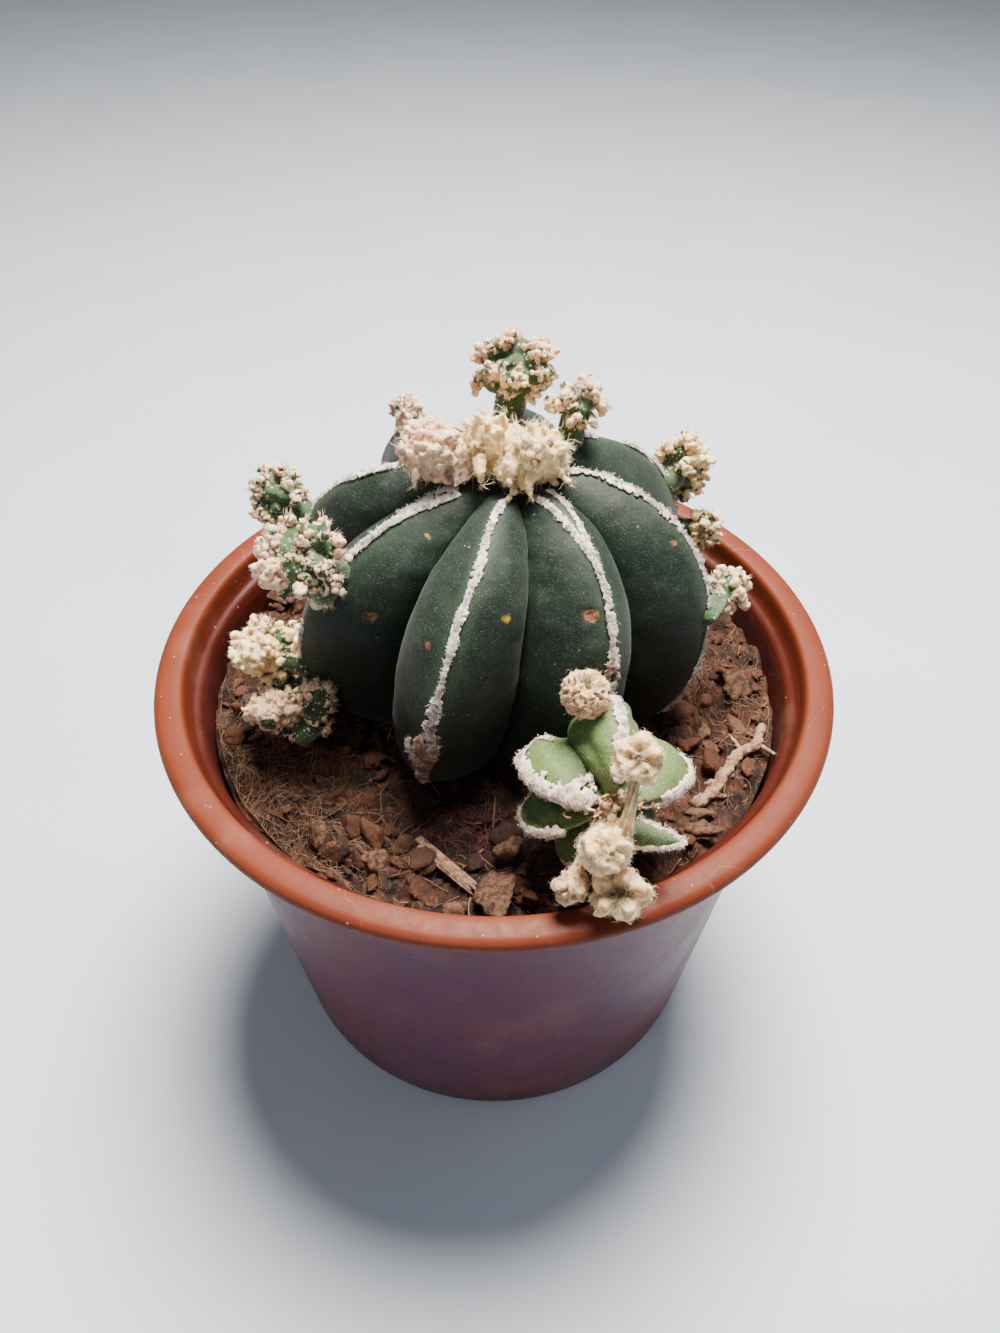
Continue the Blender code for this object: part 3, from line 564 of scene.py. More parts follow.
class RibbedSkin:    # a ribbed stem set down at a place, its crown along the last of three axes
    def __init__(self, shape, origin, axes):
        self.shape, self.origin, self.axes = shape, np.array(origin, float), np.array(axes, float)
        self.ribs = np.array(shape["ribs"], float)

    def surface(self, rib, share, place):
        # rib number, share of the way to the next rib, and place from crown 0 to base 1
        shape, ribs = self.shape, self.ribs
        radius, equator, turnOver = shape["radius"], shape["equator"], shape["turnOver"]
        rib = rib % len(ribs)
        after = (rib + 1) % len(ribs)
        near, far = [ribs[one, 0] + ribs[one, 1] * (place - 0.5) for one in (rib, after)]
        azimuth = np.radians(near + share * ((far - near) % 360))
        blend = 0.5 - 0.5 * np.cos(math.pi * share)
        reach = ribs[rib, 2] * (1 - blend) + ribs[after, 2] * blend
        above = place <= turnOver
        lift = math.pi / 2 * np.clip(place / turnOver, 0, 1)
        sink = math.pi / 2 * np.clip((place - turnOver) / (1 - turnOver), 0, 1)
        full = 2 / 2.4    # a little squarer than an ellipse
        out, rise = np.sin(lift) ** full, np.maximum(np.cos(lift), 0) ** full
        fall = shape["dip"] * hump(radius * out, 0.19 * radius)
        under = 1 - np.cos(sink)
        edgeOut = np.where(above, radius * out, radius - (radius - shape["baseRadius"]) * under)
        low = equator - (equator - shape["base"]) * np.sin(sink)
        edgeUp = np.where(above, equator + (shape["top"] - equator) * rise - fall, low)
        inner = radius * shape["groove"]
        grooveOut = np.where(above, inner * out, inner - (inner - shape["baseRadius"] * shape["baseGroove"]) * under)
        grooveUp = np.where(above, equator + (shape["top"] - shape["drop"] - equator) * rise - 0.5 * fall, edgeUp)
        across = 1 - np.abs(2 * share - 1)
        if "puff" in shape:    # fat lobes with a tight crease between them
            weight = across ** shape["puff"]
        else:
            weight = 0.45 * across ** 1.2 + 0.55 * (1 - np.sqrt(np.maximum(0, 1 - across * across)))
        weight = weight * np.minimum(1, edgeOut / (0.3 * radius))
        far = reach * (edgeOut + (grooveOut - edgeOut) * weight)
        return np.stack([far * np.cos(azimuth), far * np.sin(azimuth), edgeUp + (grooveUp - edgeUp) * weight], -1)

    def point(self, rib, share, place):
        rib, share, place = np.broadcast_arrays(rib, np.asarray(share, float), np.asarray(place, float))
        whole = np.floor(share).astype(int)
        return self.surface(rib + whole, share - whole, place) @ self.axes + self.origin

    def out(self, rib, share, place):    # the way out of the skin
        a = self.point(rib, share + 0.012, place) - self.point(rib, share - 0.012, place)
        b = self.point(rib, share, place + 0.006) - self.point(rib, share, place - 0.006)
        way = unit(np.cross(a, b))
        inside = self.origin + self.axes[2] * (0.3 * self.shape["equator"] + 0.7 * self.shape["base"])
        radial = self.point(rib, share, place) - inside
        return np.where(np.sum(way * radial, -1, keepdims=True) < 0, -way, way)

    def grid(self, spec, start, power):    # rib, share and place of every point, and how near each is to a crease
        steps, count = spec["flankSteps"], len(self.ribs)
        along = np.linspace(0, 1, steps, endpoint=False)
        along = along - 0.045 * np.sin(4 * math.pi * along)    # closer together at the crests and creases
        rib, share = np.repeat(np.arange(count), steps)[None, :], np.tile(along, count)[None, :]
        place = (start + (1 - start) * np.linspace(0, 1, spec["rows"]) ** power)[:, None]
        across = 1 - np.abs(2 * np.broadcast_to(share, (spec["rows"], count * steps)) - 1)
        return rib, share, place, across


def closedSkin(points, rings, crown, tip, marks):
    # a skin's points with rings added below, and marks as (values, fill on the rings)
    rings = np.concatenate([points, *[ring[None] for ring in rings]])
    extra = rings[0].size // 3 * (len(rings) - len(points)) + 2
    filled = {
        mark: np.concatenate([np.broadcast_to(values, points.shape[:2]).ravel(), np.full(extra, fill)])
        for mark, (values, fill) in marks.items()
    }
    return *capped(rings, crown, tip), filled


mainSkin = RibbedSkin(stem, (*stem["axis"], 0.0), np.eye(3))


def skinMaterial(name):
    deep, fresh, pale, stipple, edgeTint = skinTones[name]
    shade = Shade(name)
    edge, place = shade.mark("edge"), shade.mark("place")
    clouds = shade.noise(9, 5, 0.6)
    shade.colour = shade.mix(shade.ramp(clouds, 0.32, 0.68), deep, fresh)
    # painted shade: the grooves between the ribs are darkened
    shade.coat(skinTones["crease"], shade.ramp(edge, 0.0, 0.35, 0.55, 0.0))
    shade.coat(edgeTint, shade.ramp(edge, 0.72, 1.0, 0.0, 0.5))
    shade.coat(skinTones["haze"], shade.patches(0.50, 0.72, 5.5, 6, 0.68), shade.patches(0.42, 0.62, 17, 2), 0.10)
    # minute pale dots of felt all over the skin, thicker in some places
    dots = shade.times(shade.dots(0.31, 0.13, 0.33), shade.patches(0.40, 0.60, 0.9, 4, 0.7))
    shade.coat(pale, dots, stipple)
    shade.coat(pale, shade.dots(0.22, 0.16, 0.42), shade.patches(0.40, 0.62, 1.6, 4, 0.7), 0.45 * stipple)
    shade.coat(skinTones["larger"], shade.dots(2.6, 0.05, 0.09), shade.patches(0.52, 0.6, 7, 2), 0.7)
    shade.coat(skinTones["fleck"], shade.ramp(shade.mark("fleck"), 0.35, 0.75, 0.0, 0.85))
    cork = shade.mix(shade.patches(0.4, 0.6, 0.5, 4), *skinTones["cork"])
    shade.coat(cork, shade.ramp(shade.mark("scar"), 0.35, 0.6))
    # painted shade: the lower part of the stem is darkened
    shade.coat(skinTones["low"], shade.ramp(place, 0.42, 0.80, 0.0, 0.6))
    shade.coat(skinTones["foot"], shade.ramp(place, 0.93, 1.0, 0.0, 0.5))
    bumps = shade.math("ADD", shade.times(dots, 0.8), shade.noise(0.55, 4, 0.6))
    normal = shade.height(bumps, 0.05, shade.height(shade.noise(3.5, 3), 0.12))
    rough = shade.ramp(clouds, 0.3, 0.7, 0.56, 0.72)
    return shade.done(rough, normal, Specular_IOR_Level=0.30, Sheen_Weight=0.05, Sheen_Roughness=0.45)


def makeStem():
    rib, share, place, across = mainSkin.grid(stem, 0.012, 0.93)
    points = mainSkin.point(rib, share, place)
    out = mainSkin.out(rib, share, np.clip(place, 0.02, 0.98))
    flat, shape = points.reshape(-1, 3), across.shape
    wave = (0.35 * layered(flat, 13, 3, 2) + 0.10 * layered(flat, 3.2, 9, 2)).reshape(shape) * smooth(0.0, 0.2, place)
    # faint cross creases run into the grooves
    folds = np.stack([*np.broadcast_arrays(place * 60, rib * 9.0), 4 * across], -1).reshape(-1, 3)
    wave = wave + stem["folds"] * grain(folds, 2.6, 5).reshape(shape) * smooth(0.35, 0.9, across)
    scar, fleck = np.zeros(shape), np.zeros(shape)
    rough = 1 + 0.55 * grain(flat, 0.9, 21).reshape(shape)
    for *where, length, width in stem["scars"]:
        near = np.linalg.norm(points - mainSkin.point(*where), axis=-1)
        hit = hump(near * rough, 0.5 * (length + width))
        scar = np.maximum(scar, hit)
        lip = hump(near - 0.75 * (length + width), 0.45)
        wave = wave - stem["scarDepth"] * smooth(0.45, 0.8, hit) + stem["scarLip"] * lip
    for *where, size in stem["flecks"]:
        fleck = np.maximum(fleck, hump(np.linalg.norm(points - mainSkin.point(*where), axis=-1), size))
    points = points + out * wave[..., None]
    middle = np.array([*stem["axis"], 0.0])
    tail = (points[-1] - middle)[:, :2]
    wide, base = stem["tailRadius"], stem["base"]
    sections = [(tail * (1 - go) + go * wide * unit(tail), drop) for go, drop in ((0.5, 0.5), (1.0, 0.7))]
    sections += [(unit(tail) * radius, depth) for radius, depth in stem["tail"]]
    rings = [np.column_stack([section, np.full(len(tail), base - depth)]) + middle for section, depth in sections]
    crown, tip = (*stem["axis"], stem["top"] - stem["dip"] + 0.2), (*stem["axis"], base - 20.3)
    marks = {"edge": (1 - across, 0.3), "place": (place, 1.0), "scar": (scar, 0.0), "fleck": (fleck, 0.0)}
    skin = closedSkin(points, rings, crown, tip, marks)
    addPiece("mainStem", skin, skinMaterial("velvetSkin"), "green_skin", "main_stem")


# Felt along the rib edges
felt = {
    "spacing": 0.058, "voxel": 0.19, "thin": 0.4, "clumps": 5.0, "hairs": 7, "hairLength": (0.45, 1.1),
    "hairWidth": 0.055,
    # strips: rib, places where it starts and ends, shift to the side, half width, height, gaps (0 none, 1 many), age
    "strips": (
        (0, 0.075, 0.17, 0.7, 0.75, 0.5, 0.05, 0.05), (0, 0.16, 0.30, 0.0, 0.95, 0.6, 0.12, 0.05),
        (0, 0.30, 0.42, 0.0, 1.05, 0.6, 0.10, 0.1), (0, 0.42, 0.49, -0.3, 0.5, 0.4, 0.35, 0.3),
        (0, 0.485, 0.60, 0.0, 1.7, 0.9, 0.25, 0.45), (0, 0.59, 0.76, 1.2, 1.7, 1.7, 0.0, 1.7),
        (0, 0.59, 0.76, -1.0, 1.8, 1.6, 0.0, 1.9), (0, 0.58, 0.77, 0.2, 1.5, 2.0, 0.0, 1.6),
        (0, 0.62, 0.75, -3.4, 0.5, 0.6, 0.0, 0.35), (0, 0.80, 0.95, 0.0, 0.8, 0.5, 0.4, 0.6),
        (1, 0.075, 0.31, -1.4, 0.75, 0.5, 0.03, 0.03), (1, 0.075, 0.30, 1.4, 0.55, 0.45, 0.12, 0.03),
        (1, 0.30, 0.44, 0.0, 0.95, 0.6, 0.04, 0.12), (1, 0.44, 0.55, 0.0, 1.6, 0.9, 0.15, 0.65),
        (1, 0.55, 0.64, 0.0, 0.6, 0.5, 0.5, 0.5), (1, 0.68, 0.95, 0.0, 0.7, 0.5, 0.5, 0.5),
        (2, 0.075, 0.26, 0.0, 1.05, 0.6, 0.04, 0.03), (2, 0.26, 0.36, 0.0, 1.35, 0.8, 0.30, 0.3),
        (2, 0.35, 0.88, 0.0, 0.85, 0.55, 0.35, 0.25), (3, 0.09, 0.82, 0.0, 0.8, 0.5, 0.20, 0.15),
        (4, 0.08, 0.40, 0.0, 1.5, 0.9, 0.05, 0.1), (4, 0.40, 0.84, 0.0, 0.8, 0.5, 0.20, 0.2),
        (5, 0.09, 0.85, 0.0, 0.8, 0.5, 0.20, 0.2), (6, 0.08, 0.84, 0.0, 1.0, 0.55, 0.10, 0.15),
        (7, 0.075, 0.28, -0.8, 1.1, 0.65, 0.0, 0.03), (7, 0.085, 0.28, 0.9, 0.75, 0.6, 0.0, 0.03),
        (7, 0.25, 0.42, 0.0, 1.0, 0.6, 0.04, 0.05), (7, 0.42, 0.95, 0.0, 0.8, 0.6, 0.45, 0.6),
    ),
}
woolTones = {    # light, warm, deep (also laid as painted shade in hollows), how mottled, and the green flesh that shows between the knobs
    "ribFelt": ((0.92, 0.86, 0.77), (0.84, 0.70, 0.58), (0.34, 0.21, 0.15), 0.1),
    "peachWool": (
        (0.99, 0.79, 0.54), (0.92, 0.57, 0.34), (0.22, 0.10, 0.042), 0.55,
        (0.022, 0.054, 0.016), (0.052, 0.108, 0.028),
    ),
    "creamWool": (
        (1.0, 0.82, 0.47), (1.0, 0.68, 0.31), (0.56, 0.32, 0.13), 0.12,
        (0.028, 0.052, 0.017), (0.055, 0.090, 0.028),
    ),
    "frontFelt": ((0.92, 0.81, 0.69), (0.82, 0.60, 0.47), (0.34, 0.17, 0.10), 0.25),
    "ballCream": ((1.0, 0.79, 0.46), (0.98, 0.62, 0.29), (0.095, 0.060, 0.024), 0.15),
    "ballPink": ((0.86, 0.62, 0.37), (0.70, 0.42, 0.21), (0.10, 0.065, 0.022), 0.5),
}
dryWool, fleshDots = (0.19, 0.075, 0.037), (0.62, 0.62, 0.50)


def woolMaterial(name):
    if name in bpy.data.materials:
        return bpy.data.materials[name]
    light, warm, deepToneAndShade, mottle, *fleshes = woolTones[name]
    shade = Shade(name)
    shade.colour = shade.mix(shade.patches(0.36, 0.64, 1.7, 4, 0.6), light, warm)
    threads = shade.noise(0.32, 3, 0.7, (1, 1, 0.35), 0.9)
    shade.coat(deepToneAndShade, shade.ramp(threads, 0.30, 0.50, 0.35, 0.0))
    shade.coat(shade.mix(0.55, warm, deepToneAndShade), shade.patches(0.48, 0.62, 0.42, 3, 0.7), mottle)
    age = shade.mark("age")    # old wool dries brown
    dry = shade.times(shade.patches(0.38, 0.56, 1.3, 4), age)
    shade.coat(dryWool, shade.math("MAXIMUM", dry, shade.math("SUBTRACT", age, 1.1)))
    shade.coat(deepToneAndShade, shade.patches(0.62, 0.70, 0.75, 3, 0.7), 0.3)
    # painted shade: the deep mark darkens hollows and folds of the wool
    shade.coat(deepToneAndShade, shade.mark("deep"))
    rough = shade.ramp(threads, 0.3, 0.7, 0.86, 0.98)
    bumps = shade.math("ADD", threads, shade.times(shade.noise(0.8, 4, 0.7), 1.4))
    if fleshes:
        green = shade.mix(shade.patches(0.35, 0.65, 1.4, 3), *fleshes)
        dots = shade.times(shade.dots(0.75, 0.22, 0.34), shade.patches(0.42, 0.55, 2.0, 2))
        green = shade.mix(dots, green, fleshDots)
        isWool = shade.ramp(shade.math("ADD", shade.mark("wool"), shade.times(threads, 0.3)), 0.52, 0.74)
        shade.colour = shade.mix(isWool, green, shade.colour)
        rough = shade.mix(isWool, 0.55, rough)
    return shade.done(rough, shade.height(bumps, 0.16), Specular_IOR_Level=0.2, Sheen_Weight=0.25, Sheen_Roughness=0.5,
                      Subsurface_Weight=0.35, Subsurface_Radius=(1.0, 0.75, 0.5), Subsurface_Scale=0.0011)


def nearestOf(points, targets):    # index of the nearest target for each point
    found = np.zeros(len(points), int)
    for start in range(0, len(points), 4000):
        part = points[start:start + 4000]
        gap = (part ** 2).sum(1)[:, None] - 2 * part @ targets.T + (targets ** 2).sum(1)[None]
        found[start:start + 4000] = np.argmin(gap, 1)
    return found


def feltOn(skin, rib, strips, rng, seed, scale=1.0, chunk=1.0):    # felt pads on one rib of a skin
    parts = []
    for start, end, shift, half, high, gaps, age in strips:
        path = skin.point(rib, 0.0, np.linspace(start, end, 200))
        length = np.sum(np.linalg.norm(np.diff(path, axis=0), axis=1))
        number = int(length / (felt["spacing"] * scale))
        place = np.sort(rng.uniform(start, end, number))
        line = np.column_stack([place * 55, np.full(number, seed * 7.0)])
        thick, bare, swing = [
            grain(np.column_stack([line, np.full(number, row)]), size, seed + 30 * row)
            for row, size in enumerate((2.2, 3.2, 6.0))
        ]
        thick = 0.75 + 0.45 * thick
        keep = bare > 1.4 * gaps - 1.05
        ends = smooth(start, start + 0.02, place) * smooth(end, end - 0.03, place)
        spread = rng.uniform(-0.8, 0.8, number) * half * thick * (0.35 + 0.65 * ends)
        perShare = np.linalg.norm(skin.point(rib, 0.02, place) - skin.point(rib, 0.0, place), axis=-1) / 0.02
        fade = 1 - smooth(start, end, place) if shift else 0
        share = (spread + 0.35 * scale * swing + shift * fade) / np.maximum(perShare, 2.0)
        at, out = skin.point(rib, share, place), skin.out(rib, share, place)
        along = unit(skin.point(rib, share, place + 0.004) - at)
        side = np.cross(along, out)
        radius = scale * chunk * rng.uniform(0.13, 0.24, number)
        reach = scale * rng.uniform(0.28, 0.62, number) * (0.7 + 0.4 * thick)
        combed = side + 0.45 * along * rng.normal(0.4, 1, (number, 1)) + 0.25 * out * rng.normal(0, 1, (number, 1))
        parts.append([values[keep] for values in (
            at + out * (high * 0.45 * (1 - (spread / (half * 1.5)) ** 2) * ends)[:, None],
            np.stack([radius, radius, reach], -1), unit(combed), out, side * np.sign(spread + 0.01)[:, None], along,
            np.clip(age + 0.9 * (place - start) / (end - start) * age, 0, max(1, age)),
        )])
    middles, sizes, lays, ways, sides, alongs, ages = [np.concatenate(values) for values in zip(*parts)]
    points, faces = fused(*lumps(middles, sizes, 1, lays), felt["voxel"] * scale ** 0.5)
    points = points + normalsOf(points, faces) * (0.10 * layered(points, 0.45, seed, 2))[:, None]
    nearest = nearestOf(points, middles)
    # short hairs in pointed clumps, combed out to both sides
    clumps, many = int(len(middles) * felt["spacing"] * felt["clumps"]), felt["hairs"]
    pick = rng.integers(0, len(middles), clumps)
    lean = 0.85 * sides[pick] + rng.uniform(0.1, 0.6, (clumps, 1)) * ways[pick] + rng.normal(0, 0.38, (clumps, 3))
    lean = unit(lean - 0.5 * alongs[pick])
    long = scale * rng.uniform(*felt["hairLength"], clumps)
    tips = crowd(middles[pick] + lean * long[:, None], many, 0.10 * scale, rng)
    roots = crowd(middles[pick] + 0.12 * ways[pick], many, 0.24 * scale, rng)
    hairs = hairsTo(roots, tips, felt["hairWidth"] * rng.uniform(0.6, 1.2, len(roots)), rng, 0.16)
    thin = thinned(points, faces, {"age": ages[nearest], "deep": np.zeros(len(points))}, felt["thin"])
    return withHairs(thin, hairs, age=np.repeat(np.repeat(ages[pick] * 0.8, many), len(hairs[0]) // len(roots)))


def addFelt(name, skin, strips, material, slot, draws, seed, *scales):
    byRib = {}
    for rib, *strip in strips:
        byRib.setdefault(rib, []).append(strip)
    for rib, found in byRib.items():
        made = feltOn(skin, rib, found, np.random.default_rng(draws + rib), seed + rib, *scales)
        addPiece(f"{name}_{rib + 1}", made, material, slot)


# Woolly offsets, each a knobbly green head on a short neck
offsets = {
    "voxel": 0.20, "thin": 0.34, "grains": 14, "padGrains": 110, "rimGrains": 48,
    # node: rib it grows from, middle of the head, half sizes, knobs, knob size, neck, how much flesh shows, wool
    "heads": {
        "offset_back_top": (4, (2.9, 19.0, 133.8), (7.4, 6.2, 6.0), 44, 1.35, 2.6, 1.1, "peachWool"),
        "offset_back_right": (3, (13.0, 13.5, 130.9), (4.6, 4.2, 4.4), 24, 1.3, 2.2, 0.3, "peachWool"),
        "offset_back_left": (5, (-16.1, 27.0, 121.6), (2.9, 2.7, 2.7), 12, 1.2, 1.4, 0.1, "peachWool"),
        "offset_left_upper": (6, (-38.0, 14.0, 112.0), (5.8, 5.6, 5.8), 34, 1.3, 2.2, 0.9, "peachWool"),
        "offset_left_middle": (7, (-28.0, -14.4, 121.3), (7.0, 6.3, 7.1), 26, 1.6, 2.6, 1.2, "peachWool"),
        "offset_left_low": (7, (-37.2, -9.6, 97.4), (6.4, 5.4, 6.0), 26, 1.7, 2.0, 0.2, "creamWool"),
        "offset_left_base": (7, (-35.0, -13.4, 89.6), (7.4, 5.2, 4.9), 16, 1.5, 2.0, 1.2, "peachWool"),
        "offset_right_upper": (3, (34.0, 25.4, 111.3), (5.6, 5.2, 6.8), 30, 1.4, 2.2, 0.5, "creamWool"),
        "offset_right_middle": (3, (39.0, 20.6, 101.4), (2.9, 2.8, 4.4), 14, 1.3, 1.5, 0.15, "creamWool"),
        "offset_right_low": (2, (39.8, 1.7, 101.7), (4.0, 3.8, 4.3), 18, 1.4, 1.5, 0.3, "peachWool"),
    },
    # one large pad of wool on some heads: node, middle, half sizes
    "pads": {
        "offset_left_base": ((-37.0, -17.6, 91.6), (4.9, 2.9, 2.9)),
        "offset_left_middle": ((-31.8, -17.6, 121.2), (3.2, 2.4, 2.4)),
        "offset_left_low": ((-39.6, -11.6, 98.6), (4.0, 3.4, 3.2)),
    },
    # bare green lobes on some heads: node, middle and half sizes of each
    "lobes": {
        "offset_left_base": (
            ((-30.2, -15.6, 91.4), (3.4, 2.9, 3.2)), ((-31.8, -17.8, 87.6), (4.2, 2.4, 2.2)),
            ((-28.8, -16.2, 94.4), (2.3, 2.2, 2.4))),
        "offset_left_middle": (((-25.2, -17.4, 118.4), (2.6, 2.4, 3.0)), ((-28.4, -18.2, 122.4), (2.2, 1.8, 2.4))),
    },
}


def scatter(count, rng, lowest=-0.75):    # directions spread evenly over a head
    index = np.arange(count) + 0.5
    height = 1 - (1 - lowest) * index / count
    angle = math.pi * (3 - math.sqrt(5)) * index + rng.uniform(-0.35, 0.35, count)
    flat = np.sqrt(np.maximum(0, 1 - height ** 2))
    return unit(np.stack([flat * np.cos(angle), flat * np.sin(angle), height], -1) + rng.normal(0, 0.14, (count, 3)))


def fluff(points, faces, amount, seed):    # tangled fibrous relief on wool
    warp = warpOf(points, 1.5, seed)
    ridge = np.cos(3.4 * grain(points + 0.8 * warp, 1.2, seed + 4))
    small = np.cos(3.4 * grain(points + 0.5 * warp, 0.62, seed + 5))
    shift = amount * (0.16 * ridge + 0.15 * small + 0.10 * grain(points, 0.3, seed + 6))
    return points + normalsOf(points, faces) * shift[:, None], ridge


def tufts(middles, ways, size, rng, count, length, width=0.045):    # pointed wisps of hair that stand on wool
    pick = rng.integers(0, len(middles), count)
    lean = unit(ways[pick] + rng.normal(0, 0.5, (count, 3)))
    long = rng.uniform(*length, count)
    roots = crowd(middles[pick] + lean * size * 0.3, 7, 0.22, rng)
    tips = crowd(middles[pick] + lean * (size * 0.55 + long)[:, None], 7, 0.16, rng)
    return hairsTo(roots, tips, width * rng.uniform(0.6, 1.3, len(roots)), rng, 0.25)


def woolHead(foot, spec, pad, lobes, rng, seed):
    middle, size = np.array(spec[0]), np.array(spec[1])
    knobs, knobSize, neck, green = spec[2:6]
    axis = unit(unit(middle - foot))
    way = scatter(knobs, rng)
    way = sum(way[:, [part]] * side for part, side in enumerate((*sideways(axis[None]), axis)))
    big = knobSize * rng.uniform(0.55, 1.4, knobs)
    tips = middle + way * size * (1 - 0.75 * knobSize / size.mean()) * rng.uniform(0.84, 1.03, (knobs, 1))
    # green flesh: the body, the knobs, the neck and the bare lobes
    flesh = [(middle[None], size * 0.60)]
    for share in (0.45, 0.72):
        flesh.append((middle + (tips - middle) * share, (big * (0.85 + 0.4 * green - 0.3 * share))[:, None]))
    run = np.linspace(0, 1, 14)[:, None]
    flesh.append((foot + (middle - foot) * run, np.linspace(neck * 1.1, neck * 1.0, 14)[:, None]))
    flesh += [(lobe[None], lobeSize) for lobe, lobeSize in lobes]
    # wool: grains crowded on the knobs, and locks of it
    grains = offsets["grains"]
    bigger, outer = np.repeat(big, grains)[:, None], np.repeat(way, grains, 0)
    tuft = np.repeat(tips, grains, 0) + rng.normal(0, 0.48, outer.shape) * bigger
    tuft = tuft + outer * bigger * rng.uniform(-0.5, 0.3, bigger.shape)
    woolly = ~np.repeat(rng.uniform(0, 1, knobs) < 0.16 * green, grains)    # some knobs carry no wool
    wool = [(tuft[woolly], outer[woolly], bigger[woolly])]
    if pad:
        padWay = scatter(offsets["padGrains"], rng, -1.0)
        spread = padWay * pad[1] * rng.uniform(0.45, 0.95, (len(padWay), 1))
        wool.append((pad[0] + spread, padWay, np.full((len(padWay), 1), 1.7)))
    for lobe, lobeSize in lobes:    # a rim of wool dots runs round each bare lobe
        rim = rng.normal(0, 1, (offsets["rimGrains"], 3)) * np.array([1.0, 0.35, 1.0]) + np.array([0, -0.25, 0.2])
        wool.append((lobe + unit(rim) * lobeSize, unit(rim), np.full((len(rim), 1), 0.8)))
    tuft, outer, bigger = [np.concatenate(values) for values in zip(*wool)]
    radius = (0.16 + 0.32 * rng.uniform(0, 1, bigger.shape) ** 1.5) * bigger ** 0.8
    tuftSize = radius * rng.uniform(0.75, 1.25, tuft.shape)
    tuftSize[:, 2] *= 1.6
    heads = lumps(tuft, tuftSize, 1, unit(outer + rng.normal(0, 0.5, outer.shape)), rng)
    some = rng.integers(0, len(tuft), int(len(tuft) * 0.7))
    curl = unit(outer[some] * 0.8 + rng.normal(0, 0.7, (len(some), 3)))
    curl = curl * bigger[some] ** 0.7 * rng.uniform(0.5, 1.25, (len(some), 1))
    thick = bigger[some, 0] ** 0.7 * rng.uniform(0.24, 0.42, len(some))
    locks = tongues(tuft[some] - curl * 0.4, tuft[some] + curl, thick, rng, 0.1, 0.35, 5, 1)
    parts = [*[lumps(*part) for part in flesh], heads, locks]
    if pad:
        parts.append(lumps(pad[0][None], pad[1] * 0.8, 3))
    points, faces = fused(*joined(parts), offsets["voxel"], 1)
    near = nearestOf(points, tuft)
    toTuft = np.linalg.norm(points - tuft[near], axis=1) / tuftSize[near].mean(1)
    inside = np.linalg.norm((points - middle) / size, axis=1)
    isWool = smooth(2.0 - 0.45 * green, 1.45 - 0.35 * green, toTuft + 0.3 * grain(points, 0.8, seed))
    isWool = isWool * smooth(0.62, 0.80, inside + 0.06 * grain(points, 1.1, seed + 2))
    if pad:
        isWool = np.maximum(isWool, smooth(1.25, 1.05, np.linalg.norm((points - pad[0]) / pad[1], axis=1)))
    moved, ridge = fluff(points, faces, 1.5, seed)
    points = points + (moved - points) * isWool[:, None]
    # painted shade: wool near the head's middle and in the troughs of the fibrous ridges is darkened
    deep = np.clip(smooth(0.94, 0.70, inside) * 0.5 + smooth(-0.1, -0.8, ridge) * 0.2, 0, 1)
    hairs = tufts(tuft, outer, knobSize * 0.45, rng, int(len(tuft) * 0.75), (0.5, 1.4), 0.046)
    marks = {"wool": isWool, "deep": deep, "age": np.full(len(points), 0.12)}
    return withHairs(thinned(points, faces, marks, offsets["thin"]), hairs, wool=1.0, age=0.05)


def makeOffsets():
    for number, (node, (rib, *spec)) in enumerate(offsets["heads"].items()):
        line = mainSkin.point(rib, 0.0, np.linspace(0.08, 0.97, 90))
        foot = line[np.argmin(np.linalg.norm(line - np.array(spec[0]), axis=1))]
        pad = [np.array(part) for part in offsets["pads"].get(node, ())]
        lobes = [[np.array(part) for part in lobe] for lobe in offsets["lobes"].get(node, ())]
        made = woolHead(foot, spec, pad, lobes, np.random.default_rng(200 + number), 500 + 10 * number)
        addPiece(node + "_wool", made, woolMaterial(spec[-1]), "offset_wool", node)


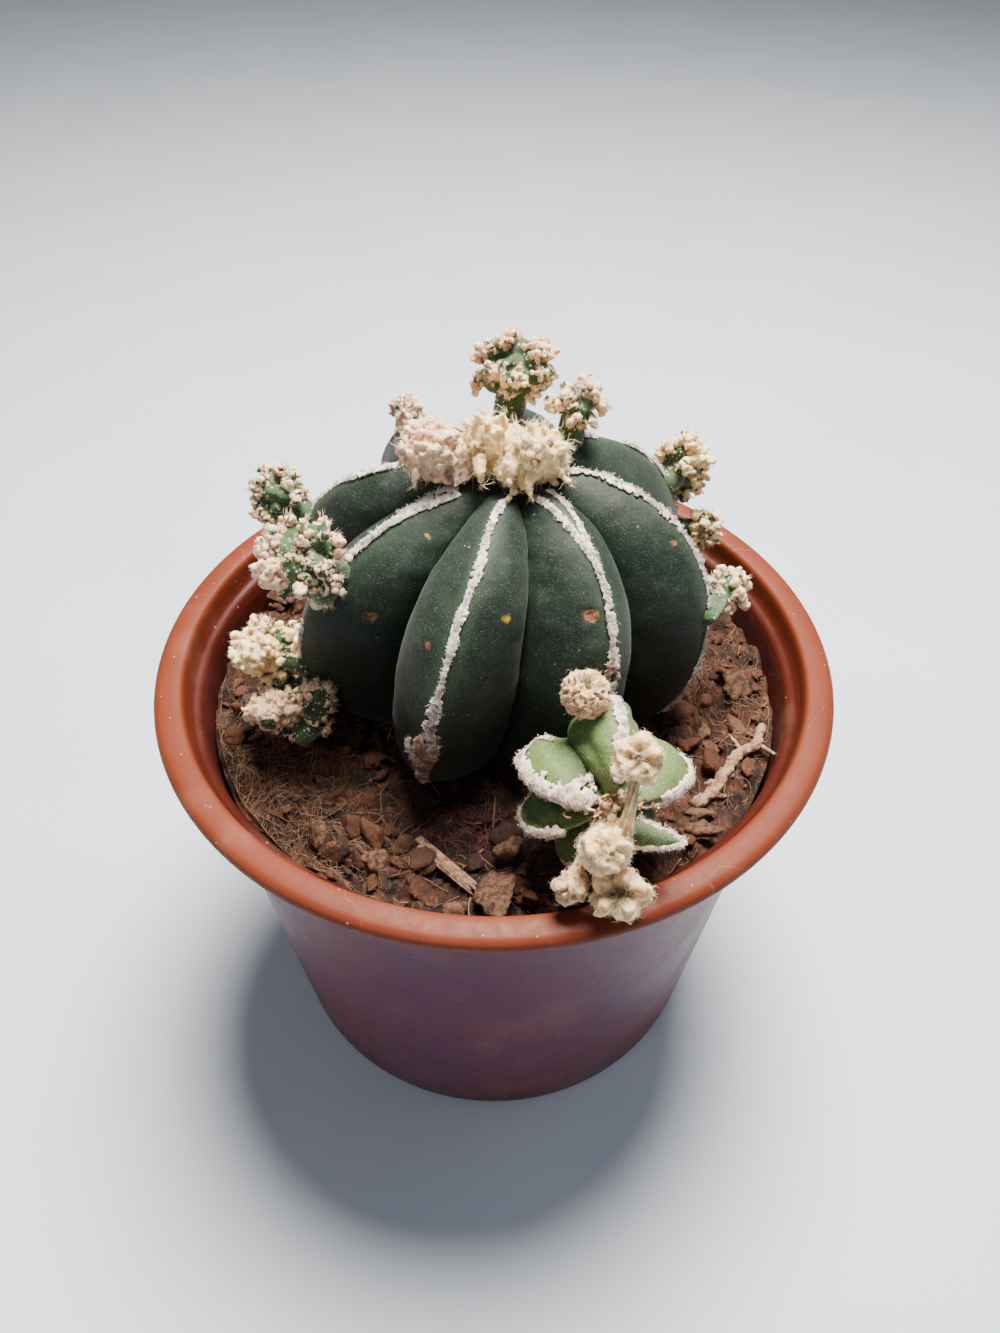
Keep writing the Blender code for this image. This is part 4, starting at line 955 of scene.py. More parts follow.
# Wool in the dip of the crown
crown = {
    "voxel": 0.20, "thin": 0.42, "curls": 240, "wisps": 300, "tufts": 460,
    # node: middles and sizes of its big lumps, grains, peaks, peak length and thickness, softening, folds, wool
    "masses": {
        "crown_offset_left": (
            (((-9.9, 0.0, 131.4), (4.8, 4.2, 4.1)), ((-7.6, 1.8, 127.6), (4.4, 4.0, 3.6)),
             ((-8.0, 5.0, 126.4), (4.0, 4.2, 3.0))),
            620, 14, (0.8, 1.6), (0.5, 0.9), 1, 0.2, "peachWool"),
        "crown_wool": (
            (((-1.6, 2.6, 131.4), (3.4, 3.4, 4.2)), ((0.0, 5.0, 127.2), (5.0, 5.4, 3.6)),
             ((-3.4, 3.6, 128.0), (3.2, 3.6, 3.8)), ((3.4, 7.4, 127.0), (3.8, 4.0, 3.2))),
            140, 52, (1.0, 2.4), (0.9, 1.5), 3, 0.35, "creamWool"),
        "crown_offset_right": (
            (((6.6, -0.2, 130.6), (3.9, 3.7, 4.4)), ((7.2, 2.2, 127.2), (4.0, 4.2, 3.4)),
             ((3.2, -0.8, 127.6), (2.8, 3.0, 3.4))),
            130, 46, (1.0, 2.4), (0.8, 1.3), 3, 0.35, "creamWool"),
    },
    # pointed tufts that hang over the ribs: root, tip, thickness
    "points": {
        "crown_offset_left": (
            ((-11.6, -3.2, 129.2), (-12.2, -5.0, 127.2), 0.8), ((-6.6, -2.4, 128.4), (-6.0, -4.2, 126.6), 0.8),
            ((-13.6, -0.6, 129.4), (-15.4, -2.0, 128.0), 0.7)),
        "crown_wool": (
            ((-2.4, -1.4, 128.6), (-2.2, -3.6, 126.0), 0.9), ((-2.6, 1.6, 134.4), (-3.4, 0.6, 136.8), 0.9),
            ((0.8, 2.2, 134.4), (1.6, 1.6, 136.8), 0.9)),
        "crown_offset_right": (
            ((2.6, -2.6, 126.6), (1.8, -5.0, 124.6), 0.8), ((5.6, -3.2, 127.4), (5.4, -5.4, 125.4), 0.8),
            ((9.6, -2.0, 128.6), (12.0, -3.8, 126.6), 0.8), ((9.8, 1.6, 130.4), (12.0, 1.2, 130.6), 0.8),
            ((8.6, -2.4, 132.4), (10.8, -3.2, 133.8), 0.7), ((5.2, 0.2, 133.8), (4.6, -0.6, 136.0), 0.8)),
    },
}


def makeCrown():
    for number, (node, spec) in enumerate(crown["masses"].items()):
        big, grains, peaks, peakLength, peakThick, soften, folds, wool = spec
        rng, seed = np.random.default_rng(260 + number), 600 + 20 * number
        parts, tuft, peak = [], [], []
        share = np.array([size[0] * size[1] for _, size in big])
        for (middle, size), part in zip(big, share / share.sum()):
            middle, size = np.array(middle), np.array(size)
            parts.append(lumps(middle[None], size * 0.80, 3))
            way = scatter(int(grains * part), rng, -0.6)
            tuft.append((middle + way * size * rng.uniform(0.74, 0.98, (len(way), 1)), way))
            # wool drawn up into peaks, wide at the root and fine at the tip
            way = scatter(max(1, int(peaks * part)), rng, -0.5)
            root = middle + way * size * 0.5
            lean = unit(way + rng.normal(0, 0.3, way.shape) + np.array([0, 0, 0.25]))
            tip = middle + way * size * 0.75 + lean * rng.uniform(*peakLength, (len(way), 1)) * 0.6
            parts.append(tongues(root, tip, rng.uniform(*peakThick, len(way)), rng, 0.22, 0.15, 8))
            peak += [(tip, lean), (0.5 * (tip + root), lean)]
        for root, tip, thick in crown["points"][node]:
            root, tip = np.array(root)[None], np.array(tip)[None]
            tip = root + (tip - root) * 0.78
            parts.append(tongues(root - (tip - root) * 0.5, tip, thick * 1.15, rng, 0.16, 0.3, 9))
            peak.append((tip, unit(tip - root)))
        tips, leans = [np.concatenate(values) for values in zip(*peak, *tuft)]
        tuft, outer = [np.concatenate(values) for values in zip(*tuft)]
        radius = rng.uniform(0.30, 0.66, (len(tuft), 1)) * rng.uniform(0.75, 1.25, tuft.shape)
        parts.append(lumps(tuft, radius, 2, unit(outer + rng.normal(0, 0.4, outer.shape)), rng))
        points, faces = fused(*joined(parts), crown["voxel"], soften)
        warp = warpOf(points, 3.0, seed)
        fold = np.cos(3.3 * grain(points + 1.4 * warp, 2.6, seed + 9))
        hollow = smooth(0.42, 0.74, grain(points + 0.8 * warp, 2.2, seed + 12))
        points = points + normalsOf(points, faces) * (folds * 0.4 * (fold - 0.2) - 1.0 * hollow)[:, None]
        points, _ = fluff(points, faces, 1.0, seed)
        longHairs = curls(points, faces, crown["curls"], (1.4, 3.8), 0.034, rng, 0.16)
        # painted shade: hollows and fold troughs of the crown wool are darkened
        deep = np.clip(smooth(-0.2, -1.0, fold) * 0.08 + hollow * 0.5, 0, 1)
        wisps = crown["wisps"]
        pick = rng.integers(0, len(tips), wisps)
        lean = leans[pick] + rng.normal(0, 0.6, (wisps, 3))
        long, wide = rng.uniform(0.9, 2.2, wisps), rng.uniform(0.05, 0.11, wisps)
        free = fibres(tips[pick] - leans[pick] * 0.4, lean, long, wide, rng, 0.6, 4)
        hairs = joined([tufts(tips, leans, 0.5, rng, crown["tufts"], (0.4, 1.4), 0.030), longHairs, free])
        marks = {"deep": deep, "wool": np.ones(len(points)), "age": np.full(len(points), 0.04)}
        made = withHairs(thinned(points, faces, marks, crown["thin"]), hairs, wool=1.0)
        addPiece(node + "_wool", made, woolMaterial(wool), "crown_wool", node)


# Front offset, a small ribbed stem that leans out towards the lip
front = {
    "middle": (15.4, -34.9, 95.8), "lean": (0.15, -0.89, 0.43), "foot": (14.0, -29.9),
    "shape": {
        "radius": 12.6, "baseRadius": 7.6, "equator": 4.5, "top": 15.0, "base": 0.0, "dip": 2.4, "groove": 0.60,
        "baseGroove": 0.6, "drop": 4.2, "turnOver": 0.62, "puff": 1.7,
        "ribs": ((-150, 0, 1.00), (-110, 0, 1.04), (-44, 0, 0.92), (7, 0, 1.12), (79, 0, 1.02), (166, 0, 0.92)),
    },
    "flankSteps": 34, "rows": 84, "thin": 0.45,
    # shallow furrows down the lobes: rib, share of the way to the next rib, depth
    "furrows": ((4, 0.30, 0.9), (4, 0.62, 0.5), (5, 0.80, 0.6), (3, 0.70, 0.6), (5, 0.16, 0.5)),
    # share of the way down to the foot, radius
    "footRings": ((0.3, 6.4), (0.6, 5.0), (0.85, 4.2), (1.0, 3.8)),
    # felt: rib, start, end, shift, half width, height, gaps, age
    "strips": (
        (0, 0.22, 0.92, 0.0, 0.9, 0.7, 0.15, 0.4), (1, 0.16, 0.80, 0.0, 1.2, 0.8, 0.05, 0.15),
        (2, 0.30, 0.84, 0.0, 0.7, 0.5, 0.1, 0.1), (3, 0.20, 0.98, 0.0, 1.2, 0.8, 0.03, 0.12),
        (3, 0.14, 0.56, -2.0, 1.2, 0.7, 0.1, 0.2), (4, 0.10, 0.66, 0.0, 1.0, 0.7, 0.03, 0.1),
        (5, 0.08, 0.98, 0.0, 1.35, 1.0, 0.0, 0.12), (5, 0.10, 0.96, 0.5, 0.9, 0.9, 0.0, 0.15),
        (5, 0.14, 0.30, -1.9, 0.7, 0.8, 0.0, 0.15), (5, 0.62, 0.90, -2.8, 0.6, 0.6, 0.35, 0.2),
        (5, 0.07, 0.24, 0.6, 1.0, 0.9, 0.0, 0.3), (5, 0.07, 0.24, -0.5, 1.0, 0.9, 0.0, 0.3),
    ),
    # where a ball's stalk starts, when not on the crown
    "stalks": {
        "front_ball_top": (13.7, -33.4, 108.4), "front_ball_right": (18.2, -50.2, 103.2),
        "front_ball_low": (17.0, -48.0, 103.4),
    },
    "threads": 60, "shreds": 260,
    # wool balls: middle, half sizes, fold depth and size, pits, (whorl, petals, hollow, way it faces), hairs, wool
    "balls": {
        "front_ball_top": (
            (13.3, -31.2, 110.3), (3.7, 3.6, 3.6), 0.5, 0.9, 1.0,
            (0.0, 0.0, 0.0, (0, 0, 1)), 900, "ballPink"),
        "front_ball_right": (
            (19.6, -44.4, 111.6), (3.5, 3.4, 3.5), 0.65, 2.4, 0.35,
            (0.14, 0.45, 0.45, (-0.1, -0.5, 0.85)), 1400, "ballCream"),
        "front_ball_low": (
            (15.6, -51.6, 101.2), (3.8, 3.4, 3.6), 0.45, 2.2, 0.10,
            (0.22, 0.15, 0.25, (0.1, -0.7, 0.7)), 1700, "ballCream"),
        "front_offset_left": (
            (11.1, -53.4, 94.9), (2.6, 2.5, 2.6), 0.5, 1.4, 0.4,
            (0.0, 0.2, 0.0, (0, -1, 0.3)), 700, "ballPink"),
        "front_offset_right": (
            (17.9, -54.4, 94.6), (4.3, 3.6, 3.7), 0.55, 2.1, 0.5,
            (0.10, 0.70, 1.0, (-0.05, -0.55, 0.85)), 1500, "ballCream"),
    },
}
frontAxis = unit(np.array(front["lean"]))
frontLevel = unit(np.array([1.0, 0, 0]) - frontAxis * frontAxis[0])
frontAxes = np.array([frontLevel, np.cross(frontAxis, frontLevel), frontAxis])
frontBase = np.array(front["middle"]) - frontAxis * front["shape"]["equator"]
frontSkin = RibbedSkin(front["shape"], frontBase, frontAxes)


def makeFront():
    shape = front["shape"]
    rib, share, place, across = frontSkin.grid(front, 0.02, 0.95)
    points = frontSkin.point(rib, share, place)
    out = frontSkin.out(rib, share, np.clip(place, 0.03, 0.97))
    flat = points.reshape(-1, 3)
    wave = (0.5 * layered(flat, 7, 31, 2) + 0.08 * layered(flat, 1.6, 35, 2)).reshape(across.shape)
    wave = wave * smooth(0, 0.15, place)
    scar = smooth(0.58, 0.75, layered(flat, 3.0, 51, 2)).reshape(across.shape) * smooth(0.45, 0.9, place)
    for furrowRib, furrowShare, depth in front["furrows"]:
        line = furrowShare + 0.05 * np.sin(place * 9 + furrowRib)
        furrow = depth * np.where(rib == furrowRib, hump(share - line, 0.06), 0.0)
        wave = wave - furrow * smooth(0.1, 0.4, place) * smooth(1.0, 0.75, place)
    points = points + out * (wave - 0.25 * scar)[..., None]
    # the body narrows to a foot that stands on the soil
    level, aside, axis = frontAxes
    foot = np.array([*front["foot"], soilHeight(*front["foot"]) - 0.4])
    turn = np.arctan2((points[-1] - frontBase) @ aside, (points[-1] - frontBase) @ level)[:, None]
    rings = []
    for go, radius in front["footRings"]:
        back = unit(aside * (1 - go) + np.array([0, 1.0, 0]) * go)
        rings.append(frontBase + (foot - frontBase) * go + radius * (np.cos(turn) * level + np.sin(turn) * back))
    marks = {"edge": (1 - across, 0.5), "place": (place * 0.4, 0.5), "scar": (scar * 0.8, 0.0), "fleck": (0.0, 0.0)}
    skin = closedSkin(points, rings, frontBase + axis * (shape["top"] - shape["dip"]), foot, marks)
    addPiece("frontStem", skin, skinMaterial("freshSkin"), "front_green_skin", "front_offset")


def woolBall(spec, seed, rng):    # a ball of felted wool: folds, a whorl, petals round a dark hollow
    middle, size, depth, foldSize, pits = [np.array(value, float) for value in spec[:5]]
    (whorl, petals, hollow, facing), hairCount = spec[5:7]
    way, faces = ballPoints(6)
    at = way * size
    warp = warpOf(at, foldSize * 1.2, seed, 40)
    folds = np.cos(3.3 * grain(at + 0.75 * foldSize * warp, foldSize, seed + 5))
    small = np.cos(3.3 * grain(at + 0.3 * foldSize * warp, 0.95, seed + 6))
    holes = smooth(0.08, 0.45, grain(at + 0.4 * warp, foldSize * 0.8, seed + 12)) * pits
    pole = unit(np.array(facing, float))
    first, second = sideways(pole[None])
    tilt = np.arccos(np.clip(way @ pole, -1, 1)) + 0.12 * warp[:, 0]
    turn = np.arctan2(way @ second[0], way @ first[0]) + 0.25 * warp[:, 1]
    turns = np.cos(4 * turn + 7 * tilt) * smooth(0.1, 0.5, tilt) * smooth(2.4, 1.6, tilt)
    leaf = np.cos(5 * turn + 1.2 * tilt) * smooth(0.25, 0.7, tilt) * smooth(2.2, 1.3, tilt)
    pit = hollow * smooth(0.72, 0.36, tilt + 0.12 * leaf)
    fine = layered(at + 0.3 * warp, 0.6, seed + 15, 3, 0.7)
    relief = depth * (folds - 0.3) * 0.5 + 0.17 * small + whorl * turns + petals * leaf - 1.1 * holes - 2.5 * pit
    made = middle + way * (size * 0.92 + (relief + 0.20 * fine)[:, None])
    # painted shade: folds, holes, the whorl's troughs and the hollow are darkened through the deep mark
    deep = smooth(0.0, -0.8, folds) * 0.35 * depth + smooth(-0.2, -1.0, small) * 0.15 + holes + 1.4 * pit
    deep = np.clip(deep + smooth(-0.1, -0.9, turns) * whorl * 0.9, 0, 1)
    pick = rng.integers(0, len(made), hairCount)
    lean = unit(way[pick] * 0.7 + rng.normal(0, 0.8, (hairCount, 3)))
    hairs = fibres(made[pick] - way[pick] * 0.15, lean, rng.uniform(0.3, 1.0, hairCount), 0.026, rng, 0.4)
    hairs = joined([hairs, curls(made, faces, int(hairCount * 0.08), (0.6, 1.7), 0.028, rng, 0.3)])
    marks = {"deep": deep, "age": np.full(len(made), 0.06)}
    return withHairs(thinned(made, faces, marks, front["thin"]), hairs)


def stalk(foot, middle, rng):    # twisted strands that hold a ball
    count, steps = front["threads"], 7
    share = np.linspace(0, 1, steps)[None, :, None]
    turn = rng.uniform(0, math.tau, count)[:, None]
    square = sideways(unit(middle - foot)[None])
    ring, spin = around(*square, turn), around(*square, turn + 1.2)
    radius = rng.uniform(0.3, 1.15, (count, 1, 1)) * (ring[:, None] * (1 - share) + spin[:, None] * share)
    paths = foot + (middle - foot) * share + radius * (1.1 - 0.4 * np.sin(share * math.pi))
    paths = paths + 0.2 * grain(paths.reshape(-1, 3), 1.4, 3).reshape(count, steps, 1) * ring[:, None]
    return strands(paths, rng.uniform(0.12, 0.26, count), 4, 0.2)


def makeFrontBalls():
    top = frontBase + frontAxis * 12.5
    for number, (node, spec) in enumerate(front["balls"].items()):
        rng = np.random.default_rng(300 + number)
        ball = woolBall(spec, 90 + 20 * number, rng)
        held = stalk(np.array(front["stalks"].get(node, top)), np.array(spec[0]), rng)
        addPiece(node + "_wool", withHairs(ball, held, age=0.45), woolMaterial(spec[-1]), "front_wool", node)
    # dry shreds of old wool lie on the crown between the balls
    rng, count = np.random.default_rng(330), front["shreds"]
    start = top + rng.normal(0, 1, (count, 3)) * np.array([3.0, 1.3, 1.0]) + np.array([-0.6, -0.6, 0.6])
    lean = unit(rng.normal(0, 1, (count, 3)) * np.array([1.0, 0.7, 0.35])) * rng.uniform(0.8, 2.6, (count, 1))
    points, faces = fused(*tongues(start, start + lean, rng.uniform(0.14, 0.30, count), rng, 0.4, 0.5), 0.2)
    marks = {"age": np.full(len(points), 1.0), "deep": smooth(0.1, 0.7, grain(points, 1.6, 77)) * 0.8}
    addPiece("frontShreds", thinned(points, faces, marks, 0.6), woolMaterial("ballCream"), "front_wool")


# Pointed lobe that sticks out past the lower right ball
lobe = {
    "root": (18.4, -46.4, 98.2), "tip": (27.0, -48.6, 98.6), "wide": 2.1, "thick": 1.3, "rows": 22, "columns": 28,
    "rimGrains": 260, "rimTufts": 90,
}


def makeLeaf():
    root, tip = np.array(lobe["root"]), np.array(lobe["tip"])
    wide, rows, columns = lobe["wide"], lobe["rows"], lobe["columns"]
    way = unit(tip - root)
    across = unit(np.cross(way, np.array([0.0, -0.5, 0.86])))
    upward = np.cross(across, way)
    run = np.linspace(0, 1, rows)[:, None]
    turn = np.linspace(0, math.tau, columns, endpoint=False)[None, :]
    reach = wide * (1 - run ** 1.7) ** 0.8 * (0.62 + 0.38 * np.sin(np.minimum(run * 3, 1) * math.pi / 2)) + 0.12
    deep = (lobe["thick"] * (1 - run ** 2.2) ** 0.8 + 0.08) * (np.sin(turn) - 0.35 * np.abs(np.cos(turn)))
    ring = root + (tip - root) * run[..., None] + (reach * np.cos(turn))[..., None] * across + deep[..., None] * upward
    points, faces = capped(ring, root - way * 0.3, tip + way * 0.2)
    points = points + normalsOf(points, faces) * (0.12 * layered(points, 1.5, 88, 2))[:, None]
    edge = np.broadcast_to(np.abs(np.cos(turn)) ** 3, (rows, columns)).ravel()
    marks = {mark: np.zeros(len(points)) for mark in ("place", "scar", "fleck")}
    marks["edge"] = np.concatenate([edge, [0.5, 1.0]])
    addPiece("frontLeaf", (points, faces, marks), bpy.data.materials["freshSkin"], "front_green_skin")
    rng, count = np.random.default_rng(341), lobe["rimGrains"]
    share = rng.uniform(0.15, 1.0, count)[:, None] ** 0.8
    side = rng.choice([-1.0, 1.0], count)[:, None]
    rim = root + (tip - root) * share + across * (side * wide * (1 - share ** 1.7) ** 0.8)
    rim = rim + rng.normal(0, 0.15, (count, 3))
    points, faces = fused(*lumps(rim, rng.uniform(0.15, 0.42, (count, 3)), 1), 0.2)
    hairs = tufts(rim, way * 0.6 + across * side, 0.2, rng, lobe["rimTufts"], (0.3, 0.8))
    marks = {"age": np.full(len(points), 0.5), "deep": np.zeros(len(points))}
    addPiece("leafRim", withHairs((points, faces, marks), hairs), woolMaterial("frontFelt"), "front_wool")


# Potting soil and what lies on it
soil = {
    "level": 79.7, "lump": 0.9, "shelter": 1.5, "rings": 78, "columns": 460, "mounds": 700, "wallGap": 0.36,
    "fibres": 260,
    # colours
    "dark": (0.0045, 0.0014, 0.0008), "brown": (0.060, 0.0190, 0.0074), "tan": (0.175, 0.072, 0.032),
    "bits": (0.12, 0.055, 0.029), "cracks": (0.008, 0.004, 0.003), "pale": (0.20, 0.105, 0.060),
    # painted shade for the soil in front of the stem
    "paintedShade": (0.009, 0.0022, 0.0018),
    # loose lumps: how many, smallest and largest, ball detail, seed
    "soilClods": (280, 0.8, 2.3, 3, 91), "soilCrumbs": (540, 0.28, 0.8, 2, 95),
    # beds of fine roots: middle, spread, count, length, width, how pale
    "rootBeds": (
        ((-39, -18), (7, 12), 190, (14, 34), 0.045, 0.25), ((-29, -36), (10, 7), 120, (10, 24), 0.045, 0.25),
        ((42, -4), (6, 18), 90, (6, 16), 0.05, 0.3), ((8, -46), (22, 4), 40, (4, 10), 0.045, 0.3),
        ((-4, -34), (9, 5), 90, (6, 15), 0.05, 0.0),
    ),
    "rootRed": (0.070, 0.012, 0.005), "rootBrown": (0.042, 0.016, 0.008), "rootPale": (0.21, 0.115, 0.060),
}
middleX, middleY = stem["axis"]


def soilHeight(x, y):
    lump = (
        np.sin(0.31 * x + 0.9) * np.cos(0.27 * y - 0.4) + 0.6 * np.sin(0.53 * x - 0.47 * y + 2.1)
        + 0.5 * np.cos(0.71 * y + 0.22 * x)
    )
    shelter = np.clip((np.hypot(x - middleX, y - middleY) - stem["baseRadius"]) / 8.0, 0, 1)
    return soil["level"] - soil["shelter"] * (1 - shelter) + soil["lump"] * 0.5 * lump * shelter


def soilMaterial():
    shade = Shade("pottingSoil")
    clouds, fine = shade.noise(4.5, 5, 0.65), shade.noise(0.7, 5, 0.7)
    fibre = shade.noise(0.9, 4, 0.7, (1, 0.25, 1), 1.2)
    tint = shade.math("ADD", clouds, shade.times(shade.mark("tint"), 0.5))
    shade.colour = shade.mix(shade.ramp(tint, 0.40, 0.95), soil["dark"], soil["brown"])
    shade.coat(soil["tan"], shade.ramp(fibre, 0.52, 0.68), 0.55)
    shade.coat(soil["bits"], shade.ramp(fine, 0.56, 0.70), 0.45)
    shade.coat(soil["cracks"], shade.ramp(fine, 0.30, 0.42, 0.7, 0.0))
    shade.coat(soil["pale"], shade.ramp(shade.mark("pale"), 0.2, 1.0, 0.0, 0.6))
    # painted shade: the soil in front of the stem is darkened
    shade.coat(soil["paintedShade"], shade.mark("paintedShade"))
    bumps = shade.math("ADD", fine, shade.times(fibre, 0.7))
    return shade.done(shade.ramp(fine, 0.3, 0.7, 0.78, 0.95), shade.height(bumps, 0.35), Specular_IOR_Level=0.3)


def paintedShadeAt(points):    # painted shade: the soil in front of the stem is darkened as if the stem shaded it
    return 0.9 * smooth(18, 5, np.hypot(points[:, 0] + 4, points[:, 1] + 33))


def scattered(count, rng, inner=30.0, outer=50.6):    # places on the soil outside the stem
    found = []
    while len(found) < count:
        x, y = rng.uniform(-outer, outer, 2)
        if math.hypot(x - middleX, y - middleY) > inner and math.hypot(x, y) < outer:
            found.append((x, y))
    return np.array(found)


def inPot(places, outer):    # places drawn in to a radius
    far = np.hypot(places[:, 0], places[:, 1])
    return places * np.minimum(1, outer / far)[:, None]


class Ground:    # the soil's surface with its small mounds
    def __init__(self, rng):
        self.spots = scattered(soil["mounds"], rng, 22.0)
        self.radii = rng.uniform(0.9, 3.0, len(self.spots)) * rng.uniform(0.7, 1.2, len(self.spots))
        self.highs = self.radii * rng.uniform(0.35, 0.85, len(self.spots))

    def mounds(self, x, y):
        rise = np.zeros(len(x))
        for start in range(0, len(x), 3000):
            part = slice(start, start + 3000)
            alongX, alongY = x[part, None] - self.spots[None, :, 0], y[part, None] - self.spots[None, :, 1]
            gap = np.hypot(alongX, alongY) / self.radii[None]
            rise[part] = (np.sqrt(np.maximum(0, 1 - gap ** 2)) * self.highs[None]).max(1)
        return rise

    def height(self, places):
        x, y = places[:, 0], places[:, 1]
        return soilHeight(x, y) + self.mounds(x, y) - 0.4


ground = Ground(np.random.default_rng(7))


def makeSoil():
    gap, columns = soil["wallGap"], soil["columns"]
    share = np.linspace(0, 1, soil["rings"])[:, None] ** 1.15
    radius = (innerWall(soil["level"] - 2) - gap) * (1 - share) + 16.0 * share
    angle = math.tau * np.arange(columns) / columns
    x, y = (share * middleX + radius * np.cos(angle)).ravel(), (share * middleY + radius * np.sin(angle)).ravel()
    flat = np.column_stack([x, y, 0 * x])
    rough = 0.75 * layered(flat, 2.6, 61, 3, 0.65) + 0.35 * np.abs(grain(flat, 0.9, 66))
    height = soilHeight(x, y) + ground.mounds(x, y) - 0.5 + rough
    top = np.column_stack([x, y, height]).reshape(len(share), columns, 3)
    jitter = 0.25 * np.stack([grain(flat, 1.3, 70), grain(flat, 1.3, 71), 0 * x], -1)
    top[1:-1] += jitter.reshape(top.shape)[1:-1]
    floor = potFloor + 0.3
    lower = [
        np.column_stack([reach * np.cos(angle), reach * np.sin(angle), np.full(columns, level)])[None]
        for reach, level in (
            (innerWall(floor) - 2.6, floor), (innerWall(floor + 1.9) - gap, floor + 1.9), (innerWall(70) - gap, 70.0))
    ]
    made, faces = capped(np.concatenate([*lower, top]), (0, 0, floor), (middleX, middleY, top[-1, :, 2].min() - 1.0))
    pale = 0.3 * smooth(0.45, 0.9, layered(made, 7.0, 81, 2)) + 0.3 * smooth(10, 45, made[:, 0])
    marks = {"tint": 0.25 + 0.45 * grain(made, 3.0, 83), "pale": 0.7 * pale, "paintedShade": paintedShadeAt(made)}
    addPiece("soilBed", (made, faces, marks), soilMaterial(), "soil", "potting_soil")


def brokenLumps(spots, sizes, heights, rng, detail, seed):    # angular broken bits of bark and earth
    points, faces = balls[detail]
    count = len(spots)
    # each one is bounded by a few flat broken faces
    cuts = unit(rng.normal(0, 1, (count, 9, 3)))
    apart = rng.uniform(0.42, 0.95, (count, 1, 9))
    facing = np.maximum(points @ cuts.transpose(0, 2, 1), 0.05)
    body = points[None] * np.minimum(1.25, (apart / facing).min(2))[..., None]
    flat = (points[None] + rng.uniform(0, 50, (count, 1, 3))).reshape(-1, 3)
    chop = 1 + 0.22 * grain(flat, 0.5, seed) + 0.22 * grain(flat, 0.24, seed + 1)
    body = body * chop.reshape(count, -1, 1) * rng.uniform(0.6, 1.3, (count, 1, 3)) * np.array([1.35, 0.95, 0.7])
    first = unit(rng.normal(0, 1, (count, 3)) * np.array([1, 1, 0.35]))
    second = unit(np.cross(first, rng.normal(0, 0.3, (count, 3)) + up))
    ways = (first, second, np.cross(first, second))
    placed = sum(body[..., [axis]] * way[:, None] for axis, way in enumerate(ways))
    return copies(placed * sizes[:, None, None] + np.column_stack([spots, heights])[:, None], faces)


def makeClods():
    rng = np.random.default_rng(17)
    for name in ("soilClods", "soilCrumbs"):
        count, low, high, detail, seed = soil[name]
        spots = scattered(count, rng, 25.0, 50.2)
        sizes = low * (high / low) ** rng.uniform(0, 1, count) ** 1.4
        heights = ground.height(spots) + sizes * rng.uniform(0.05, 0.5, count)
        points, faces = brokenLumps(spots, sizes, heights, rng, detail, seed)
        points[:, :2] = inPot(points[:, :2], innerWall(points[:, 2]) - 0.5)
        pale = 0.6 * rng.uniform(0, 1, count) ** 3 + 0.25 * smooth(10, 45, spots[:, 0])
        tint = rng.uniform(0.1, 1.4, count)
        pale, tint = [np.repeat(values, len(points) // count) for values in (pale, tint)]
        # the clods in front of the stem take the same painted shade
        skin = (points, faces, {"tint": tint, "pale": pale, "paintedShade": paintedShadeAt(points)})
        addPiece(name, thinned(*skin, 0.7) if detail > 2 else skin, bpy.data.materials["pottingSoil"], "bark")


def surfacePaths(at, heading, lengths, steps, rng, bend, lift):    # lines that wander over the soil
    step, count, path = lengths / (steps - 1), len(at), []
    turn = rng.normal(0, bend, count) / steps
    wobble = rng.uniform(0, math.tau, count)
    for index in range(steps):
        path.append(np.column_stack([at, ground.height(at) + lift + 0.5 * lift * np.sin(wobble + index * 1.1)]))
        heading = heading + turn + rng.normal(0, 0.12 * bend, count)
        at = inPot(at + step[:, None] * np.column_stack([np.cos(heading), np.sin(heading)]), 50.4)
    return np.stack(path, 1)


def makeRootHairs():
    rng = np.random.default_rng(27)
    shade = Shade("rootHair")
    tone = shade.mark("tint")
    shade.colour = shade.mix(shade.ramp(tone, 0.0, 0.2), soil["rootRed"], soil["rootBrown"])
    shade.coat(soil["rootPale"], shade.ramp(tone, 0.2, 1.0))
    hair = shade.done(0.75)
    parts, tints = [], []
    for middle, wide, count, length, width, pale in soil["rootBeds"]:
        spots = inPot(np.array(middle) + rng.normal(0, 0.55, (count, 2)) * np.array(wide), 49.5)
        heading = rng.uniform(0, math.tau, count)
        paths = surfacePaths(spots, heading, rng.uniform(*length, count), 15, rng, 3.6, 0.6)
        parts.append(strands(paths, rng.uniform(0.6, 1.5, count) * width, 3, 0.35))
        tints.append(np.repeat(rng.uniform(pale, 4 * pale + 0.1, count), len(parts[-1][0]) // count))
    addPiece("rootHairs", (*joined(parts), {"tint": np.concatenate(tints)}), hair, "root_bark")
    count = soil["fibres"]
    spots, lengths = scattered(count, rng, 27.0, 49.5), rng.uniform(2.0, 7.0, count)
    paths = surfacePaths(spots, rng.uniform(0, math.tau, count), lengths, 6, rng, 0.6, 0.4)
    paths[:, :, 2] += np.linspace(0, 1, 6)[None] * rng.uniform(-0.3, 1.3, count)[:, None]
    points, faces = strands(paths, rng.uniform(0.06, 0.2, count), 4, 0.3)
    tint = np.repeat(rng.uniform(0, 0.75, count), len(points) // count)
    addPiece("soilFibres", (points, faces, {"tint": tint}), hair, "root_bark")


# Twig, pale root and bark chips
litter = {
    "twig": ((-11.4, -37.0), (-2.6, -45.0)), "twigRadius": 0.95,
    "root": ((33.6, -28.6), (38.0, -24.6), (41.0, -19.4), (45.6, -15.6), (48.2, -9.8)), "rootRadius": 1.1,
    "branchesAt": (6, 13, 20, 27, 33), "chips": 8,
    # dark and pale
    "twigBark": ((0.070, 0.032, 0.017), (0.26, 0.150, 0.090)), "rootBark": ((0.12, 0.062, 0.036), (0.36, 0.235, 0.155)),
    "barkChip": ((0.022, 0.0085, 0.0045), (0.115, 0.053, 0.028)), "cracks": (0.02, 0.01, 0.006),
}


